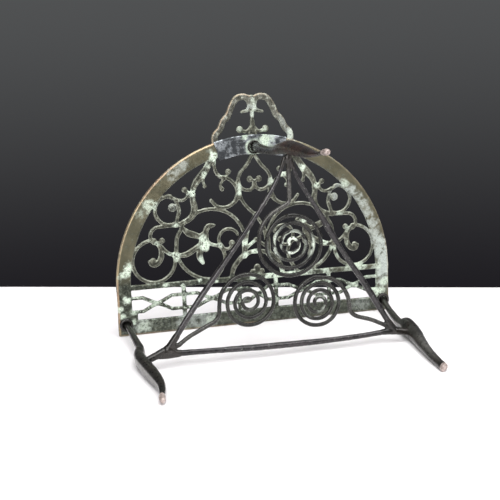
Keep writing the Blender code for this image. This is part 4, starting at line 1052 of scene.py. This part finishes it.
def iron_finish(name, dark, brown, worn, polish=0.24, specks=0.25, worn_from=0.56, coat=0.5):
    """Waxed forged iron: dark scale, warmer thin scale, worn high spots and specks of pale corrosion.

    The pieces' own fields add to it: pale flakes of patina that also stand in for painted glints, a painted
    sheen, and a darker stem near the plate.
    """
    f = Finish(name)
    broad, fine, grit = f.noise(14, 5, 0.6), f.noise(3.4, 5, 0.65), f.noise(0.9, 3)
    colour = f.mix(f.ramp(broad, 0.38, 0.62), dark, brown)
    colour = f.mix(f.ramp(fine, worn_from, worn_from + 0.16, 0, 0.7), colour, worn)
    crust = f.noise(2.2, 6, 0.8)
    pale = f.maths("MULTIPLY", f.ramp(crust, 0.60, 0.68), specks)
    # Pale flakes of patina; on the coils they also stand in for painted glints.
    flakes = f.ramp(f.noise(2.5, 5, 0.7), 0.36, 0.48)
    pale = f.maths("MAXIMUM", pale, f.maths("MULTIPLY", f.field("age"), flakes))
    # Painted sheen: a paler grey laid where the sheen field is set.
    sheen_paint = f.mix(f.ramp(fine, 0.30, 0.70), (0.120, 0.115, 0.105), (0.22, 0.215, 0.20))
    colour = f.mix(f.maths("MULTIPLY", f.field("painted_sheen"), f.ramp(broad, 0.25, 0.5, 0.5, 1)), colour, sheen_paint)
    colour = f.mix(pale, colour, f.mix(f.ramp(grit, 0.35, 0.6), (0.50, 0.58, 0.47), (0.84, 0.92, 0.80)))
    rough = f.blend(pale, f.ramp(fine, 0.3, 0.7, polish, polish + 0.18), 0.7)
    height = f.maths("ADD", f.maths("MULTIPLY", fine, 0.7), f.maths("MULTIPLY", grit, 0.3))
    # The top leg's stem is darker near the plate.
    colour = f.mix(f.maths("MULTIPLY", f.field("shade"), 0.75), colour, (0.008, 0.009, 0.008))
    return f.done(colour, rough, f.blend(pale, 0.5, 0.0), height, 0.35, 0.45, coat, 0.16)


def toe_finish():
    """Pale, warm metal with a few dark pits."""
    f = Finish("pale_tip")
    fine, grit = f.noise(3.0, 5, 0.65), f.noise(0.9, 3)
    colour = f.mix(f.ramp(fine, 0.38, 0.62), (0.24, 0.19, 0.17), (0.46, 0.38, 0.35))
    colour = f.mix(f.ramp(f.noise(1.8, 5, 0.8), 0.60, 0.70, 0, 0.7), colour, (0.12, 0.09, 0.08))
    return f.done(colour, f.ramp(fine, 0.3, 0.7, 0.32, 0.5), 0.25, grit, 0.3, 0.3, 0.3, 0.2)


brass = brass_finish()
lead = lead_finish()
dark_iron = iron_finish("dark_iron", (0.008, 0.008, 0.007), (0.020, 0.016, 0.013), (0.070, 0.062, 0.052),
                        specks=0.12, coat=0.45)
brown_iron = iron_finish("brown_iron", (0.014, 0.009, 0.007), (0.042, 0.019, 0.014), (0.085, 0.045, 0.034),
                         specks=0.08, coat=0.6)
rod_iron = iron_finish("rod_iron", (0.011, 0.010, 0.011), (0.030, 0.026, 0.028), (0.12, 0.11, 0.115),
                       specks=0.6, worn_from=0.54)
wire_iron = iron_finish("wire_iron", (0.007, 0.007, 0.006), (0.022, 0.021, 0.018), (0.09, 0.09, 0.08),
                        polish=0.16, specks=0.35, worn_from=0.60, coat=0.25)
toe_metal = toe_finish()


def place_piece(thing, node, slot, material):
    """Bake a piece's place into its mesh, give it its finish and let it stand for its CAD node."""
    thing.data.transform(thing.matrix_world)
    thing.matrix_world = Matrix.Identity(4)
    thing.data.materials.clear()
    thing.data.materials.append(material)
    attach(thing, "root")
    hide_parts(node)


place_piece(build_plate(), "pierced_plate", "brass_casting", brass)
place_piece(build_pad(), "pad_top", "leaden_pad", lead)
for spot in LEG_BASES:
    leg_finish = ("brown_iron", brown_iron) if spot == "top" else ("dark_iron", dark_iron)
    place_piece(build_collar(spot), f"collar_{spot}", "dark_iron", dark_iron)
    place_piece(build_leg(spot), f"leg_{spot}", *leg_finish)
    place_piece(build_toe(spot), f"toe_{spot}", "pale_tip", toe_metal)
    place_piece(build_lug(spot), f"lug_{spot}", "dark_iron", dark_iron)
    place_piece(build_spiral(spot), f"spiral_{spot}", "wire_iron", wire_iron)
for spot in ROD_PATHS:
    place_piece(build_rod(spot), f"rod_{spot}", "rod_iron", rod_iron)


# ---------------------------------------------------------------- stage
FLOOR_COLOUR = (0.90, 0.875, 0.885)
SKY_COLOUR = (0.13, 0.13, 0.135)                   # the light that comes from all round
BACKDROP_LOW, BACKDROP_HIGH = (0.013, 0.012, 0.015), (0.085, 0.088, 0.090)
BACKDROP_FROM, BACKDROP_TO = -0.30, 0.12           # rise of the view where the backdrop turns paler
TABLE_NEAR, TABLE_HALF_WIDTH = -2.5, 3.0
TABLE_BACK_LEFT, TABLE_BACK_RIGHT = 1.36, -0.83    # the table's far edge runs askew
# lamps: name, place, aim, size, power
LAMPS = (("overhead", (0.1, -0.45, 1.7), (0, -0.15, 0.0), 2.2, 52),
         ("front", (-1.0, -1.7, 1.0), (0, 0, 0.1), 1.4, 30),
         ("side", (1.3, -1.0, 0.9), (0, 0, 0.1), 0.8, 9))


def build_table():
    """Pale table top that ends behind the object."""
    mesh = bpy.data.meshes.new("floor")
    corners = [(-TABLE_HALF_WIDTH, TABLE_NEAR, 0), (TABLE_HALF_WIDTH, TABLE_NEAR, 0),
               (TABLE_HALF_WIDTH, TABLE_BACK_RIGHT, 0), (-TABLE_HALF_WIDTH, TABLE_BACK_LEFT, 0)]
    mesh.from_pydata(corners, [], [(0, 1, 2, 3)])
    floor = bpy.data.objects.new("floor", mesh)
    bpy.context.scene.collection.objects.link(floor)
    mesh.materials.append(Finish("studio_floor").done(FLOOR_COLOUR, 0.7, 0.0))


def build_backdrop():
    """Soft light from all round, while the camera sees a dark grey that turns paler upwards."""
    world = bpy.data.worlds.new("studio")
    bpy.context.scene.world = world
    world.use_nodes = True
    n = Nodes(world.node_tree)
    seen = n.node("ShaderNodeLightPath").outputs["Is Camera Ray"]
    view = n.node("ShaderNodeTexCoord").outputs["Generated"]
    rise = n.node("ShaderNodeSeparateXYZ", Vector=view).outputs["Z"]
    backdrop = n.mix(n.ramp(rise, BACKDROP_FROM, BACKDROP_TO), BACKDROP_LOW, BACKDROP_HIGH)
    n.feed(world.node_tree.nodes["Background"].inputs["Color"], n.mix(seen, SKY_COLOUR, backdrop))


def build_lamps():
    """Soft square lamps, each turned towards its aim."""
    for name, spot, aim, size, power in LAMPS:
        lamp = bpy.data.lights.new(name, "AREA")
        lamp.size = size
        lamp.energy = power
        holder = bpy.data.objects.new(name, lamp)
        holder.location = spot
        holder.rotation_euler = (Vector(aim) - Vector(spot)).to_track_quat("-Z", "Y").to_euler()
        bpy.context.scene.collection.objects.link(holder)


# camera in the plate's frame: place in millimetres, and its right, down and forward directions
CAMERA_PLACE = Vector((-252.499, -954.705, 271.537))
CAMERA_RIGHT = Vector((0.9666185, -0.25377344, -0.03532315))
CAMERA_DOWN = Vector((-0.08011183, -0.16839444, -0.98245886))
CAMERA_AHEAD = Vector((0.24337374, 0.95249271, -0.18310344))
SENSOR_MM, LENS_MM = 36, 61.9498


def build_camera():
    """A camera at the photograph's viewing angle; its numbers come from a fit made outside this script."""
    lens = bpy.data.cameras.new("camera")
    lens.sensor_width = SENSOR_MM
    lens.lens = LENS_MM
    lens.clip_start = 0.05
    camera = bpy.data.objects.new("camera", lens)
    turn = Matrix((CAMERA_RIGHT, -CAMERA_DOWN, -CAMERA_AHEAD)).transposed().to_4x4()
    camera.matrix_world = stand @ Matrix.Translation(CAMERA_PLACE * MM) @ turn
    bpy.context.scene.collection.objects.link(camera)
    bpy.context.scene.camera = camera


build_table()
build_backdrop()
build_lamps()
build_camera()
bpy.context.scene.view_settings.view_transform = "Standard"
